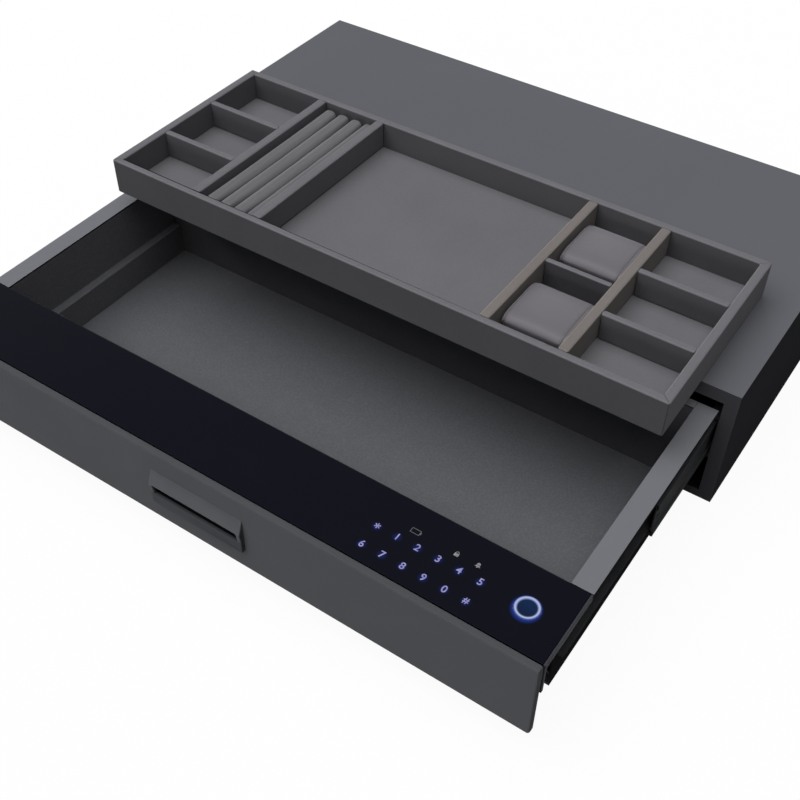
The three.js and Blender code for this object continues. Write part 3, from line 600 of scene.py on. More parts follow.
@dataclass(frozen=True)
class MitredSuede(Suede):
    """Microsuede wrapped over the tray's frame, with a fine mitred seam at each corner."""

    half_width: float = 0.28115
    front: float = -0.2369
    back: float = -0.0332
    side_wall: float = 0.008
    end_wall: float = 0.007

    def seam(self, shader: Shader) -> Socket:
        """A hairline from each outer corner of the rim to its inner corner."""
        place = shader.split(shader.place)
        middle, half = (self.front + self.back) / 2, (self.back - self.front) / 2
        from_side = shader.math("SUBTRACT", self.half_width, shader.math("ABSOLUTE", place["X"]))
        from_end = shader.math("SUBTRACT", half, shader.apart(place["Y"], middle))
        shares = (
            shader.math("DIVIDE", from_side, self.side_wall),
            shader.math("DIVIDE", from_end, self.end_wall),
        )
        return shader.ranged(shader.apart(*shares), 0.02, 0.09, 1, 0)


@dataclass(frozen=True)
class SewnSatin(Suede):
    """Smooth pillow cloth with a sewn, stitched seam a little way in from each end."""

    seams: tuple[float, ...] = ()
    seam_half: float = 0.0004
    stitch_pitch: float = 0.0032
    stitch_inset: float = 0.0018
    stitch_half: float = 0.0002

    def seam(self, shader: Shader) -> Socket | None:
        """The seam lines, with a row of stitches beside each."""
        place = shader.split(shader.place)
        run = shader.math("ADD", place["Y"], place["Z"])
        dash = shader.math("FRACT", shader.math("DIVIDE", run, self.stitch_pitch))
        stitch = shader.ranged(shader.apart(dash, 0.5), 0.26, 0.32, 0.6, 0)
        lines: Socket | None = None
        for at in self.seams:
            inward = math.copysign(self.stitch_inset, sum(self.seams) / len(self.seams) - at)
            away, beside = shader.apart(place["X"], at), shader.apart(place["X"], at + inward)
            line = shader.ranged(away, self.seam_half * 0.5, self.seam_half * 1.6, 1, 0)
            row = shader.ranged(beside, self.stitch_half, self.stitch_half * 2, 1, 0)
            both = shader.math("MAXIMUM", line, shader.math("MULTIPLY", row, stitch))
            lines = both if lines is None else shader.math("MAXIMUM", lines, both)
        return lines


@dataclass(frozen=True)
class Felt(Finish):
    """Needled felt: tangled fibres with lighter and darker flecks, painted shade on faces that look
    along y and painted light on faces that look along x.
    """

    fibres: float = 620
    drift: float = 0.004
    depth: float = 0.0003
    spread: float = 0.09
    painted_end_shade: float = 0.55
    painted_side_light: float = 1.2

    def pattern(self, shader: Shader) -> None:
        """Adds the flecks, the painted shade on the end wall, the painted light on the sides and
        the tangle.
        """
        shader.put("Sheen Weight", 0.2)
        eddies = shader.node("ShaderNodeTexNoise", {"Vector": shader.place, "Scale": 300})
        moved = shader.dimmed(eddies.outputs["Color"], self.drift)
        warped = shader.node("ShaderNodeVectorMath", {0: shader.place, 1: moved}, operation="ADD")
        inputs = {"Vector": warped.outputs[0], "Scale": self.fibres}
        cells = shader.node("ShaderNodeTexVoronoi", inputs, feature="SMOOTH_F1")
        tangle = cells.outputs["Distance"]
        flecks = shader.weighed(tangle, 0.8, shader.noise(90, 6), 0.3)
        wool = self.mottled(shader, shader.ranged(flecks, 0.25, 0.75), self.spread)
        # Painted shade on the end wall that looks along y, painted light on side faces that look
        # along x
        tones = shader.toned("Y", self.painted_end_shade), shader.toned("X", self.painted_side_light)
        shader.put("Base Color", shader.dimmed(wool, shader.math("MULTIPLY", *tones)))
        shader.relief(tangle, self.depth, 0.5)


@dataclass(frozen=True)
class RolledSteel(Finish):
    """Bare, zinc plated or blackened steel with fine rolling lines along the slide."""

    lines: Triple = (1600, 30, 1600)
    depth: float = 0.00002
    contrast: float = 0.12

    def pattern(self, shader: Shader) -> None:
        """Adds the rolling lines and cloudy plating."""
        streaks = shader.noise(1, 3, shader.stretched(self.lines))
        both = shader.weighed(streaks, 0.5, shader.noise(45, 4), 0.5)
        plated = self.mottled(shader, shader.ranged(both, *CRISP), self.contrast)
        shader.put("Base Color", plated)
        self.roughen(shader, both, 0.08)
        shader.relief(streaks, self.depth, 0.6)


@dataclass(frozen=True)
class MouldedPlastic(Finish):
    """Spark-textured moulded plastic."""

    spark: float = 1500
    depth: float = 0.00006

    def pattern(self, shader: Shader) -> None:
        """Adds the texture and a slight unevenness of tone."""
        shader.put("Base Color", self.mottled(shader, shader.noise(90, 4), 0.1))
        inputs = {"Vector": shader.place, "Scale": self.spark}
        spark = shader.node("ShaderNodeTexVoronoi", inputs)
        shader.relief(spark.outputs["Distance"], self.depth, 0.6)


@dataclass(frozen=True)
class CircuitBoard(Finish):
    """Solder mask over copper tracks."""

    tracks: float = 260
    depth: float = 0.00004

    def pattern(self, shader: Shader) -> None:
        """Adds tracks and pads that show through the mask."""
        inputs = {"Vector": shader.place, "Scale": self.tracks, "Mortar Size": 0.03}
        for name, gain in (("Color1", 0.9), ("Color2", 1.1), ("Mortar", 2.2)):
            inputs[name] = linear(self.colour, gain)
        tracks = shader.node("ShaderNodeTexBrick", inputs)
        shader.put("Base Color", tracks.outputs["Color"])
        shader.relief(tracks.outputs["Fac"], self.depth, 0.7)


@dataclass(frozen=True)
class CellJacket(Finish):
    """A cell's foil sleeve: brushed foil with a black band round one end."""

    pitch: float = 0.0516
    start: float = 0.0
    band: str = "#17171a"
    band_end: Pair = (0.70, 0.72)

    def pattern(self, shader: Shader) -> None:
        """Adds the band and the foil's streaks."""
        past = shader.math("SUBTRACT", shader.split(shader.place)["X"], self.start)
        along = shader.math("FRACT", shader.math("DIVIDE", past, self.pitch))
        streaks = shader.noise(1, 2, shader.stretched((40, 900, 900)))
        foil = self.mottled(shader, streaks, 0.15)
        bare = shader.ranged(along, *self.band_end)
        shader.put("Base Color", shader.blend(bare, linear(self.band), foil))
        shader.relief(streaks, 0.00002, 0.4)


@dataclass(frozen=True)
class BackLitGlass(Finish):
    """Black printed glass, faintly smudged, lit here and there from the keys and the reader."""

    key_start: float = 0.143
    key_pitch: float = 0.0175
    key_count: int = 6
    key_rows: Pair = (0.0, 0.0)
    reader: Pair = (0.0, 0.0)
    smear: float = 0.12
    glow: str = "#2446b8"
    key_halo: float = 0.005
    key_spill: float = 0.14
    key_drop: float = 0.0006
    ring_spill: float = 0.4
    ring_reach: Pair = (0.0088, 0.0124)
    ring_shift: Pair = (0.0001, -0.0017)

    def pattern(self, shader: Shader) -> None:
        """Adds the smudges and the spilled light."""
        dull = self.roughness + self.smear
        smudges = shader.ranged(shader.noise(22, 5), 0.45, 0.8, self.roughness, dull)
        shader.put("Roughness", smudges)
        place = shader.split(shader.place)
        past = shader.math("SUBTRACT", place["X"], self.key_start)
        cell = shader.math("DIVIDE", past, self.key_pitch)
        held = shader.math("MAXIMUM", shader.math("ROUND", cell), 0.0)
        nearest = shader.math("MINIMUM", held, self.key_count - 1.0)
        dx = shader.math("MULTIPLY", shader.math("SUBTRACT", cell, nearest), self.key_pitch)
        x, y = (self.reader[i] + self.ring_shift[i] for i in (0, 1))
        spill = shader.ranged(shader.away_from(x, y), *self.ring_reach, self.ring_spill, 0)
        for row in self.key_rows:
            away = shader.length(dx, shader.math("SUBTRACT", place["Y"], row - self.key_drop))
            light = shader.ranged(away, 0.001, self.key_halo, self.key_spill, 0)
            spill = shader.math("MAXIMUM", spill, light)
        shader.put("Emission Color", linear(self.glow))
        shader.put("Emission Strength", spill)


@dataclass(frozen=True)
class Glow(Finish):
    """A sign lit from behind, its light drifting between two tints."""

    light: str = "#dfe2ff"
    tint: str = "#8f8cf5"
    strength: float = 0.85

    def pattern(self, shader: Shader) -> None:
        """Adds the light and its unevenness."""
        drift = shader.ranged(shader.noise(260, 2), *CRISP)
        shader.put("Emission Color", shader.blend(drift, linear(self.light), linear(self.tint)))
        faint, full = self.strength * 0.85, self.strength * 1.1
        shader.put("Emission Strength", shader.ranged(shader.noise(420, 2), *SOFT, faint, full))


@dataclass(frozen=True)
class RingLight(Finish):
    """The ring of light round the reader: white along its middle, blue at its edges."""

    centre: Pair = (0.0, 0.0)
    middle: float = 0.0084
    half: float = 0.00115
    edge_light: str = "#4a6cd0"
    core_light: str = "#d0d9fe"
    strengths: Pair = (0.3, 0.58)

    def pattern(self, shader: Shader) -> None:
        """Adds the light's soft profile."""
        off = shader.apart(shader.away_from(*self.centre), self.middle)
        core = shader.ranged(off, self.half * 0.3, self.half, 1, 0)
        tint = shader.blend(core, linear(self.edge_light), linear(self.core_light))
        shader.put("Emission Color", tint)
        shader.put("Emission Strength", shader.ranged(core, 0, 1, *self.strengths))


@dataclass(frozen=True)
class ReaderWindow(Finish):
    """The reader's window: dark glass over faintly glowing finger-ridge arcs."""

    centre: Pair = (0.0, 0.0)
    ridges: float = 330
    glows: tuple[str, str] = ("#0d3468", "#183f78")
    shade: Pair = (0.006, 0.55)
    rim: Pair = (0.0066, 0.0075)
    rim_light: str = "#aab4e6"
    strength: float = 0.3

    def pattern(self, shader: Shader) -> None:
        """Adds the arcs and the light behind them."""
        x, y = self.centre
        inputs = {"Location": (-x, -y + 0.002, 0), "Vector": shader.place}
        moved = shader.node("ShaderNodeMapping", inputs).outputs["Vector"]
        inputs = {"Vector": moved, "Scale": self.ridges, "Distortion": 1.4, "Detail Scale": 0.8}
        arcs = shader.node("ShaderNodeTexWave", inputs, wave_type="RINGS", rings_direction="Z")
        tint = shader.blend(arcs.outputs["Fac"], *(linear(glow) for glow in self.glows))
        reach, dark = self.shade
        lower = shader.ranged(shader.split(shader.place)["Y"], y - reach, y + reach, dark, 1)
        rim = shader.ranged(shader.away_from(x, y), *self.rim)
        lit = shader.blend(rim, shader.dimmed(tint, lower), linear(self.rim_light))
        shader.put("Emission Color", lit)
        shader.put("Emission Strength", self.strength)


# The casing paint gets painted shade on its upright walls
PAINT = PowderCoat(
    "grey_paint", "casing_paint", "#616267", 0.7, specular=0.0, clouding=0.012, painted_wall_light=0.5
)
# The panel paint gets painted light on its front faces and painted shade on faces that look along x
PANEL = PowderCoat(
    "panel_paint",
    "panel_paint",
    "#4c4d50",
    0.62,
    specular=0.02,
    grain=1700,
    rub=0.08,
    painted_wall_light=1.66,
    painted_side_light=0.57,
)
# The tub paint gets deep painted shade on its upright walls
TUB = PowderCoat(
    "tub_paint", "panel_paint", "#727378", 0.62, specular=0.0, grain=1700, painted_wall_light=0.22
)
# Painted light and shade on the pull: a lighter plate, a darker foot and a near-black finger pocket
PULL_LIT = replace(PANEL, name="pull_lit_paint", colour="#535457")
PULL_FOOT_SHADE = replace(PANEL, name="pull_foot_shade_paint", colour="#3f4043")
POCKET_SHADE = PowderCoat("pocket_shade_paint", "dark_paint", "#101012", 0.7, specular=0.01)
DECK = PowderCoat("deck_paint", "panel_paint", "#3b3c41", 0.6, specular=0.03, grain=1700)
DARK = PowderCoat("dark_paint", "dark_paint", "#1c1b1e", 0.7, specular=0.03)
BOLT_STEEL = RolledSteel("bolt_steel", "bolt_steel", "#9a9c9f", 0.32, metallic=1.0)
SLIDE_STEEL = RolledSteel("slide_steel", "slide_steel", "#3c3d3f", 0.5, specular=0.002)
SCREW_STEEL = RolledSteel("screw_steel", "slide_steel", "#6a6c70", 0.4, metallic=0.7, specular=0.05)
ZINC = RolledSteel("zinc_steel", "zinc_steel", "#8b8e92", 0.4, metallic=1.0)
BRASS = RolledSteel("brass", "brass", "#b08d4a", 0.32, metallic=1.0)
# The felt lining carries painted shade on its end wall and painted light on its sides
LINING = Felt("lining", "lining", "#5b5c60", 0.95, specular=0.02)
PLASTIC = MouldedPlastic("black_plastic", "black_plastic", "#202023", 0.55)
BOARD = CircuitBoard("circuit_board", "circuit_board", "#1d3a2a", 0.45)
JACKET = CellJacket("cell_jacket", "cell_jacket", "#b8772d", 0.35, metallic=0.6)
GLASS = BackLitGlass("touch_glass", "touch_glass", "#0c0d17", 0.1, specular=0.035)
RING = RingLight("ring_light", "ring_light", "#38425e", 0.3, specular=0.05)
WINDOW = ReaderWindow("reader_window", "black_plastic", "#0a1428", 0.15, specular=0.05)
KEY_LIGHT = Glow("key_light", "ring_light", "#50506a", 0.4, light="#cfccf2", strength=0.42)
ICON_LIGHT = Glow(
    "icon_light", "ring_light", "#2c2d30", 0.5, light="#9a9ea2", tint="#7c8088", strength=0.22
)
SIGN_LIGHT = Glow(
    "sign_light", "ring_light", "#3a3a3a", 0.5, light="#d9d6d2", tint="#b0aeb4", strength=0.36
)
# The tray cloth keeps the suede's painted wall shade, edge highlight and side light
TRAY = Suede("tray_cloth", "tray_cloth", "#6a696d", 0.95, specular=0.03)
TRAY_RIM = MitredSuede("tray_rim_cloth", TRAY.slot, TRAY.colour, TRAY.roughness, specular=0.03)
# A deeper painted shade on the watch divider's walls
TRAY_SHADE = replace(TRAY, name="shaded_tray_cloth", painted_wall_light=0.44)
TRIM = replace(TRAY, name="trim_cloth", slot="trim_cloth", colour="#746f6c")
# The rolls' upright flanks get painted shade
ROLL = replace(TRAY, name="roll_cloth", slot="pillow_cloth", colour="#69686b", painted_wall_light=0.7)
# The pillow cloth gets painted shade on its front and a painted highlight along its rounded edge
PILLOW = SewnSatin(
    "pillow_cloth",
    "pillow_cloth",
    "#636065",
    0.55,
    specular=0.2,
    spread=0.03,
    painted_wall_light=0.62,
    painted_edge_highlight=0.3,
    painted_side_light=0.0,
    seam_tone=0.8,
    seams=(0.1268, 0.1785),
)


def finish_piece(piece: Piece, finish: Finish, body: str, *stands_for: str) -> Piece:
    """Gives a made piece its material and body, and hides the solids that it stands for.

    Args:
        piece: The finished mesh.
        finish: Its finish.
        body: The CAD body that carries it.
        *stands_for: CAD nodes that it replaces.

    Returns:
        The piece.
    """
    piece.data.materials.clear()
    piece.data.materials.append(finish.material())
    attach(piece, body)
    if stands_for:
        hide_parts(*stands_for)
    LOG.info("%s rides on %s", piece.name, body)
    return piece


def paint_solid(node: str, finish: Finish) -> None:
    """Gives a CAD node that stays its finish."""
    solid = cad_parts[node]
    if not solid.material_slots:
        solid.data.materials.append(finish.material())
    for slot in solid.material_slots:
        slot.material = finish.material()
    LOG.info("%s keeps its solid", node)


def refine(node: str, finish: Finish, body: str, radius: float, segments: int = 3) -> Piece:
    """Stands a copy of a solid, with its edges rounded, in for the solid.

    Args:
        node: The CAD node.
        finish: Its finish.
        body: The CAD body that carries it.
        radius: The edge radius in metres.
        segments: Steps in each rounded edge.

    Returns:
        The new piece.
    """
    piece = from_solid(node, f"{node}_skin")
    round_edges(piece, radius, segments)
    return finish_piece(piece, finish, body, node)


# Sub-assemblies


@dataclass
class Casing:
    """The folded steel casing with its inner liner, channels and bolt keeper."""

    body: str = "casing"
    fold_radius: float = 1.0 * MM
    skin_depth: float = 1.1 * MM
    sheet_edge: float = 0.4 * MM
    panel_edge: float = 0.25 * MM
    rivet_radius: float = 3.0 * MM
    rivet_height: float = 0.62 * MM
    rivet_inset: float = 9 * MM
    rivets_across: int = 5
    rivet_crown: float = 0.3
    rivet_slope: float = 0.35
    well_depth: float = 0.9 * MM
    well_gap: float = 0.7 * MM
    grommet_radius: float = 3.4 * MM
    grommet_wall: float = 1.1 * MM
    grommet_depth: float = 2.6 * MM
    grommet_edge: float = 0.3 * MM
    anchor_x: float = 230 * MM
    anchor_rows: Pair = (-132.5 * MM, -52.5 * MM)

    def build(self) -> None:
        """Builds and dresses every piece of the casing."""
        self.build_shell()
        refine("top_liner", DARK, self.body, self.sheet_edge)
        refine("bolt_keeper", BOLT_STEEL, self.body, self.sheet_edge)
        for side in Side:
            refine(f"side_channel_{side.word}", DARK, self.body, self.sheet_edge)
        self.build_back_panel()
        self.build_grommets()

    def build_shell(self) -> None:
        """Rounds the shell's folds and paints its inside dark as painted shade."""
        shell = refine("casing_shell", PAINT, self.body, self.fold_radius)
        shell.data.materials.append(DARK.material())
        low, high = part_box("casing_shell")
        skin = self.skin_depth
        # Faces inside the shell get the dark paint as painted shade where the inside lies in shadow
        for face in shell.data.polygons:
            at = face.center
            if all(low[i] + skin < at[i] < high[i] - skin for i in range(3)):
                face.material_index = 1

    def build_grommets(self) -> None:
        """Seats a rubber grommet flush in each anchor hole of the roof."""
        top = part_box("casing_shell")[1].z
        near, far = self.anchor_rows
        centre = Vector((-self.anchor_x, near, top - self.grommet_depth / 2))
        model = rod("grommet", centre, self.grommet_radius, self.grommet_depth, Axis.Z, sides=28)
        hollow(model, self.grommet_wall)
        round_edges(model, self.grommet_edge, 2)
        moves = [Vector((x, y, 0)) for y in (0, far - near) for x in (0, 2 * self.anchor_x)]
        finish_piece(repeat(model, moves, "anchor_grommets"), PLASTIC, self.body)

    def build_back_panel(self) -> None:
        """Rounds the back panel and sinks a domed rivet into each of its wells."""
        low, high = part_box("casing_back_panel")
        inset = self.rivet_inset
        pitch = (high.x - low.x - 2 * inset) / (self.rivets_across - 1)
        seats = [
            Vector((low.x + inset + i * pitch, high.y, z))
            for z in (low.z + inset, high.z - inset)
            for i in range(self.rivets_across)
        ]
        moves = [seat - seats[0] for seat in seats]
        panel = from_solid("casing_back_panel", "casing_back_panel_skin")
        well = rod("well", seats[0], self.rivet_radius + self.well_gap, 2 * self.well_depth, Axis.Y)
        carve(panel, repeat(well, moves, "wells"))
        round_edges(panel, self.panel_edge, 2)
        finish_piece(panel, PAINT, self.body, "casing_back_panel")
        model = self.make_rivet(seats[0] - Vector((0, self.well_depth, 0)))
        finish_piece(repeat(model, moves, "back_panel_rivets"), ZINC, self.body)

    def make_rivet(self, seat: Vector) -> Piece:
        """Makes a rivet head that stands on a face looking along +Y."""
        height = self.rivet_height
        crown = height * self.rivet_crown
        centre = seat + Vector((0, height / 2, 0))
        rivet = rod("rivet", centre, self.rivet_radius, height, Axis.Y, sides=16)
        choose_faces(rivet, lambda normal: normal.y > FACING)
        with editing(rivet):
            bpy.ops.mesh.inset(thickness=self.rivet_radius * self.rivet_slope)
            bpy.ops.transform.translate(value=(0, crown, 0))
        round_edges(rivet, crown, 2)
        return rivet


@dataclass(frozen=True)
class Screw:
    """A button-head screw with a hexagon socket, its shares those of its radius and height."""

    radius: float
    height: float
    slope: float = 0.32
    drop: float = 0.35
    rim_share: float = 0.9
    smooth_angle: float = 30
    socket_share: float = 0.42
    socket_depth: float = 0.6

    def make(self, seat: Vector, axis: Axis, way: int) -> Piece:
        """Makes the head on its seat.

        Args:
            seat: The middle of the face that the head sits on.
            axis: The axis that it points along.
            way: 1 to point up the axis, -1 down it.

        Returns:
            The screw head.
        """
        out = Vector()
        out[axis.value] = way
        top = seat + out * self.height
        head = rod("screw", seat + out * self.height / 2, self.radius, self.height, axis, sides=20)
        choose_faces(head, lambda normal: normal.dot(out) > FACING)
        with editing(head):
            bpy.ops.mesh.inset(thickness=self.radius * self.slope)

        def on_rim(middle: Vector) -> bool:
            """Whether an edge runs round the outside of the head's top."""
            off = middle - top
            return abs(off.dot(out)) < NEAR and off.length > self.radius * self.rim_share

        choose_edges(head, on_rim)
        with editing(head, "EDGE"):
            bpy.ops.transform.translate(value=out * -self.height * self.drop)
        width, depth = self.radius * self.socket_share, self.height * self.socket_depth
        carve(head, rod("socket", top, width, 2 * depth, axis, sides=6))
        smooth(head, self.smooth_angle)
        return head


@dataclass
class BallSlides:
    """The two full extension slides: members, cages, balls and screws."""

    members: tuple[str, ...] = ("outer", "middle", "inner")
    edge: float = 0.35 * MM
    cage_edge: float = 0.15 * MM
    ball_radius: float = 1.1 * MM
    ball_pitch: float = 9 * MM
    ball_from_end: float = 5 * MM
    ball_sink: float = 0.35
    ball_angle: float = 60
    arm: float = 0.95 * MM
    screw_from_end: float = 6 * MM
    screws: int = 4
    inner_head: Screw = Screw(3.3 * MM, 1.2 * MM)
    outer_head: Screw = Screw(2.3 * MM, 0.9 * MM)
    inner_lift: float = 1.3 * MM
    outer_lift: float = -1.2 * MM

    def build(self) -> None:
        """Builds both slides."""
        for side in Side:
            outer, middle, inner = (f"slide_{kind}_{side.word}" for kind in self.members)
            for node, body in ((outer, "casing"), (middle, middle), (inner, "drawer")):
                refine(node, SLIDE_STEEL, body, self.edge, 2)
            for kind in ("outer", "inner"):
                cage = f"slide_cage_{kind}_{side.word}"
                refine(cage, ZINC, cage, self.cage_edge, 1)
                self.build_balls(cage, side)
            self.build_screws(inner, "drawer", side, self.inner_head, self.inner_lift)
            self.build_screws(outer, "casing", side, self.outer_head, self.outer_lift)

    def build_balls(self, cage: str, side: Side) -> None:
        """Sets a row of balls in the upper and the lower arm of a cage."""
        low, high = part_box(cage)
        tip = low.x if side is Side.RIGHT else high.x
        x = tip + side.value * self.ball_radius * self.ball_sink
        first = (x, low.y + self.ball_from_end, high.z - self.arm)
        clear_selection()
        bpy.ops.mesh.primitive_ico_sphere_add(radius=self.ball_radius, location=first)
        model = settle(bpy.context.object)
        smooth(model, self.ball_angle)
        count = int((high.y - low.y - 2 * self.ball_from_end) / self.ball_pitch) + 1
        rows = (0, low.z - high.z + 2 * self.arm)
        moves = [Vector((0, i * self.ball_pitch, z)) for z in rows for i in range(count)]
        finish_piece(repeat(model, moves, f"{cage}_balls"), BOLT_STEEL, cage)

    def build_screws(self, node: str, body: str, side: Side, head: Screw, lift: float) -> None:
        """Fixes a member with a row of screws.

        Args:
            node: The member.
            body: The body that it rides on.
            side: The side of the safe.
            head: The screw to use.
            lift: How far its seat stands out from the member's web face towards the casing wall.
        """
        low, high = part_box(node)
        web = low.x if (side is Side.RIGHT) == (lift > 0) else high.x
        seat = Vector((web + side.value * lift, low.y + self.screw_from_end, (low.z + high.z) / 2))
        model = head.make(seat, Axis.X, side.value if lift > 0 else -side.value)
        pitch = (high.y - low.y - 2 * self.screw_from_end) / (self.screws - 1)
        moves = [Vector((0, i * pitch, 0)) for i in range(self.screws)]
        finish_piece(repeat(model, moves, f"{node}_screws"), SCREW_STEEL, body)


@dataclass
class DrawerBody:
    """The drawer's tub, back plate and felt linings."""

    body: str = "drawer"
    tub_edge: float = 0.5 * MM
    plate_edge: float = 0.4 * MM
    floor_edge: float = 0.2 * MM
    lining_edge: float = 1.0 * MM
    felt: float = 0.24 * MM
    felt_tuck: float = 0.2 * MM
    felt_slope: float = 1.2 * MM
    felt_fall: float = 0.7

    def build(self) -> None:
        """Builds and dresses the drawer's body."""
        refine("drawer_tub", TUB, self.body, self.tub_edge)
        refine("drawer_back_plate", TUB, self.body, self.plate_edge)
        refine("false_floor", LINING, self.body, self.floor_edge, 2)
        for side in Side:
            refine(f"side_lining_{side.word}", LINING, self.body, self.lining_edge)
        self.build_back_felt()

    def build_back_felt(self) -> None:
        """Lines the whole back plate, behind the ends of the side linings."""
        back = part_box("drawer_back_plate")[0].y
        front = back - self.felt
        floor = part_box("false_floor")[1].z
        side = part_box("side_lining_right")[1].x - self.felt_tuck
        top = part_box("side_lining_left")[1].z
        sheet = block("back_felt", Vector((-side, front, floor)), Vector((side, back - NEAR, top)))
        choose_faces(sheet, lambda normal: normal.y < -FACING)
        with editing(sheet):
            bpy.ops.mesh.inset(thickness=self.felt_slope)

        def on_border(middle: Vector) -> bool:
            """Whether an edge bounds the sheet's face at a side or at its top."""
            outer = abs(abs(middle.x) - side) < NEAR or abs(middle.z - top) < NEAR
            return outer and middle.y < back - self.felt * FACING

        choose_edges(sheet, on_border)
        with editing(sheet, "EDGE"):
            bpy.ops.transform.translate(value=(0, self.felt * self.felt_fall, 0))
        finish_piece(sheet, LINING, self.body)


@dataclass
class DrawerFront:
    """The folded front panel, the hardened plate behind it and the pull."""

    body: str = "drawer"
    fold_radius: float = 2.0 * MM
    sheet_edge: float = 0.25 * MM
    plate_edge: float = 0.4 * MM
    pull_radius: float = 0.9 * MM
    pull_root: float = 0.5 * MM
    root_edge: float = 0.1 * MM
    lip_height: float = 14.2 * MM
    pocket_start: float = 1.8 * MM
    pocket_end: float = 0.3 * MM
    pocket_floor: float = 3.0 * MM
    pocket_side: float = 1.0 * MM
    foot_top: float = 60.0 * MM

    def build(self) -> None:
        """Builds and dresses the drawer's front."""
        self.build_panel()
        refine("hard_plate", BOLT_STEEL, self.body, self.plate_edge, 2)
        self.build_pull()

    def build_panel(self) -> None:
        """Gives the panel the rounded folds of bent sheet and trims its raw edges."""
        low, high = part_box("front_panel")
        panel = from_solid("front_panel", "front_panel_skin")

        def on_fold(middle: Vector) -> bool:
            """Whether an edge runs along one of the outer folds."""
            offsets = [min(abs(middle[i] - low[i]), abs(middle[i] - high[i])) for i in (0, 2)]
            return sum(off < NEAR for off in (abs(middle.y - low.y), *offsets)) == 2

        choose_edges(panel, on_fold)
        with editing(panel, "EDGE"):
            bpy.ops.mesh.bevel(offset=self.fold_radius, segments=5, profile=0.5)
        round_edges(panel, self.sheet_edge, 2)
        finish_piece(panel, PANEL, self.body, "front_panel")

    def build_pull(self) -> None:
        """Seats the pull on the panel, rounds its lip and plate, lightens the plate as painted
        light, and darkens its finger pocket and its foot as painted shade.
        """
        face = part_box("front_panel")[0].y
        pull = from_solid("pull_handle", "pull_handle_skin")
        for vertex in pull.data.vertices:
            if -self.pull_root < vertex.co.y - face < 0:
                vertex.co.y = face - SEAT_GAP
        choose_edges(pull, lambda middle: middle.y < face - self.root_edge)
        with editing(pull, "EDGE"):
            bpy.ops.mesh.bevel(offset=self.pull_radius, segments=3, clamp_overlap=True)
        smooth(pull, SMOOTH_ANGLE)
        start = face - self.pocket_start
        with editing(pull):
            bpy.ops.mesh.select_all(action="SELECT")
            bpy.ops.mesh.bisect(plane_co=(0, start, 0), plane_no=(0, 1, 0))
        finish_piece(pull, PULL_LIT, self.body, "pull_handle")
        for finish in (POCKET_SHADE, PULL_FOOT_SHADE):
            pull.data.materials.append(finish.material())
        low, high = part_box("pull_handle")
        floor, roof, side = low.z + self.pocket_floor, high.z - self.lip_height, high.x
        # Painted shade: the pocket's inside gets near-black paint and the foot a darker paint; the
        # plate keeps its lighter paint as painted light
        for facet in pull.data.polygons:
            at = facet.center
            within = floor < at.z < roof and abs(at.x) < side - self.pocket_side
            if (at.y > start and within) or at.y > face + self.pocket_end:
                facet.material_index = 1
            elif at.z < self.foot_top and at.y < face:
                facet.material_index = 2


# The names of the symbols beside the digits, and their size as a share of the digits'
SYMBOLS = {"*": ("star", 1.3), "#": ("hash", 0.86)}


@dataclass(frozen=True)
class Mark:
    """A printed mark, its reach given in mm from its icon's middle.

    It is a bar with four sides and a disc with more. A wall makes it hollow.
    """

    left: float
    right: float
    front: float
    back: float
    sides: int = 4
    wall: float = 0.0


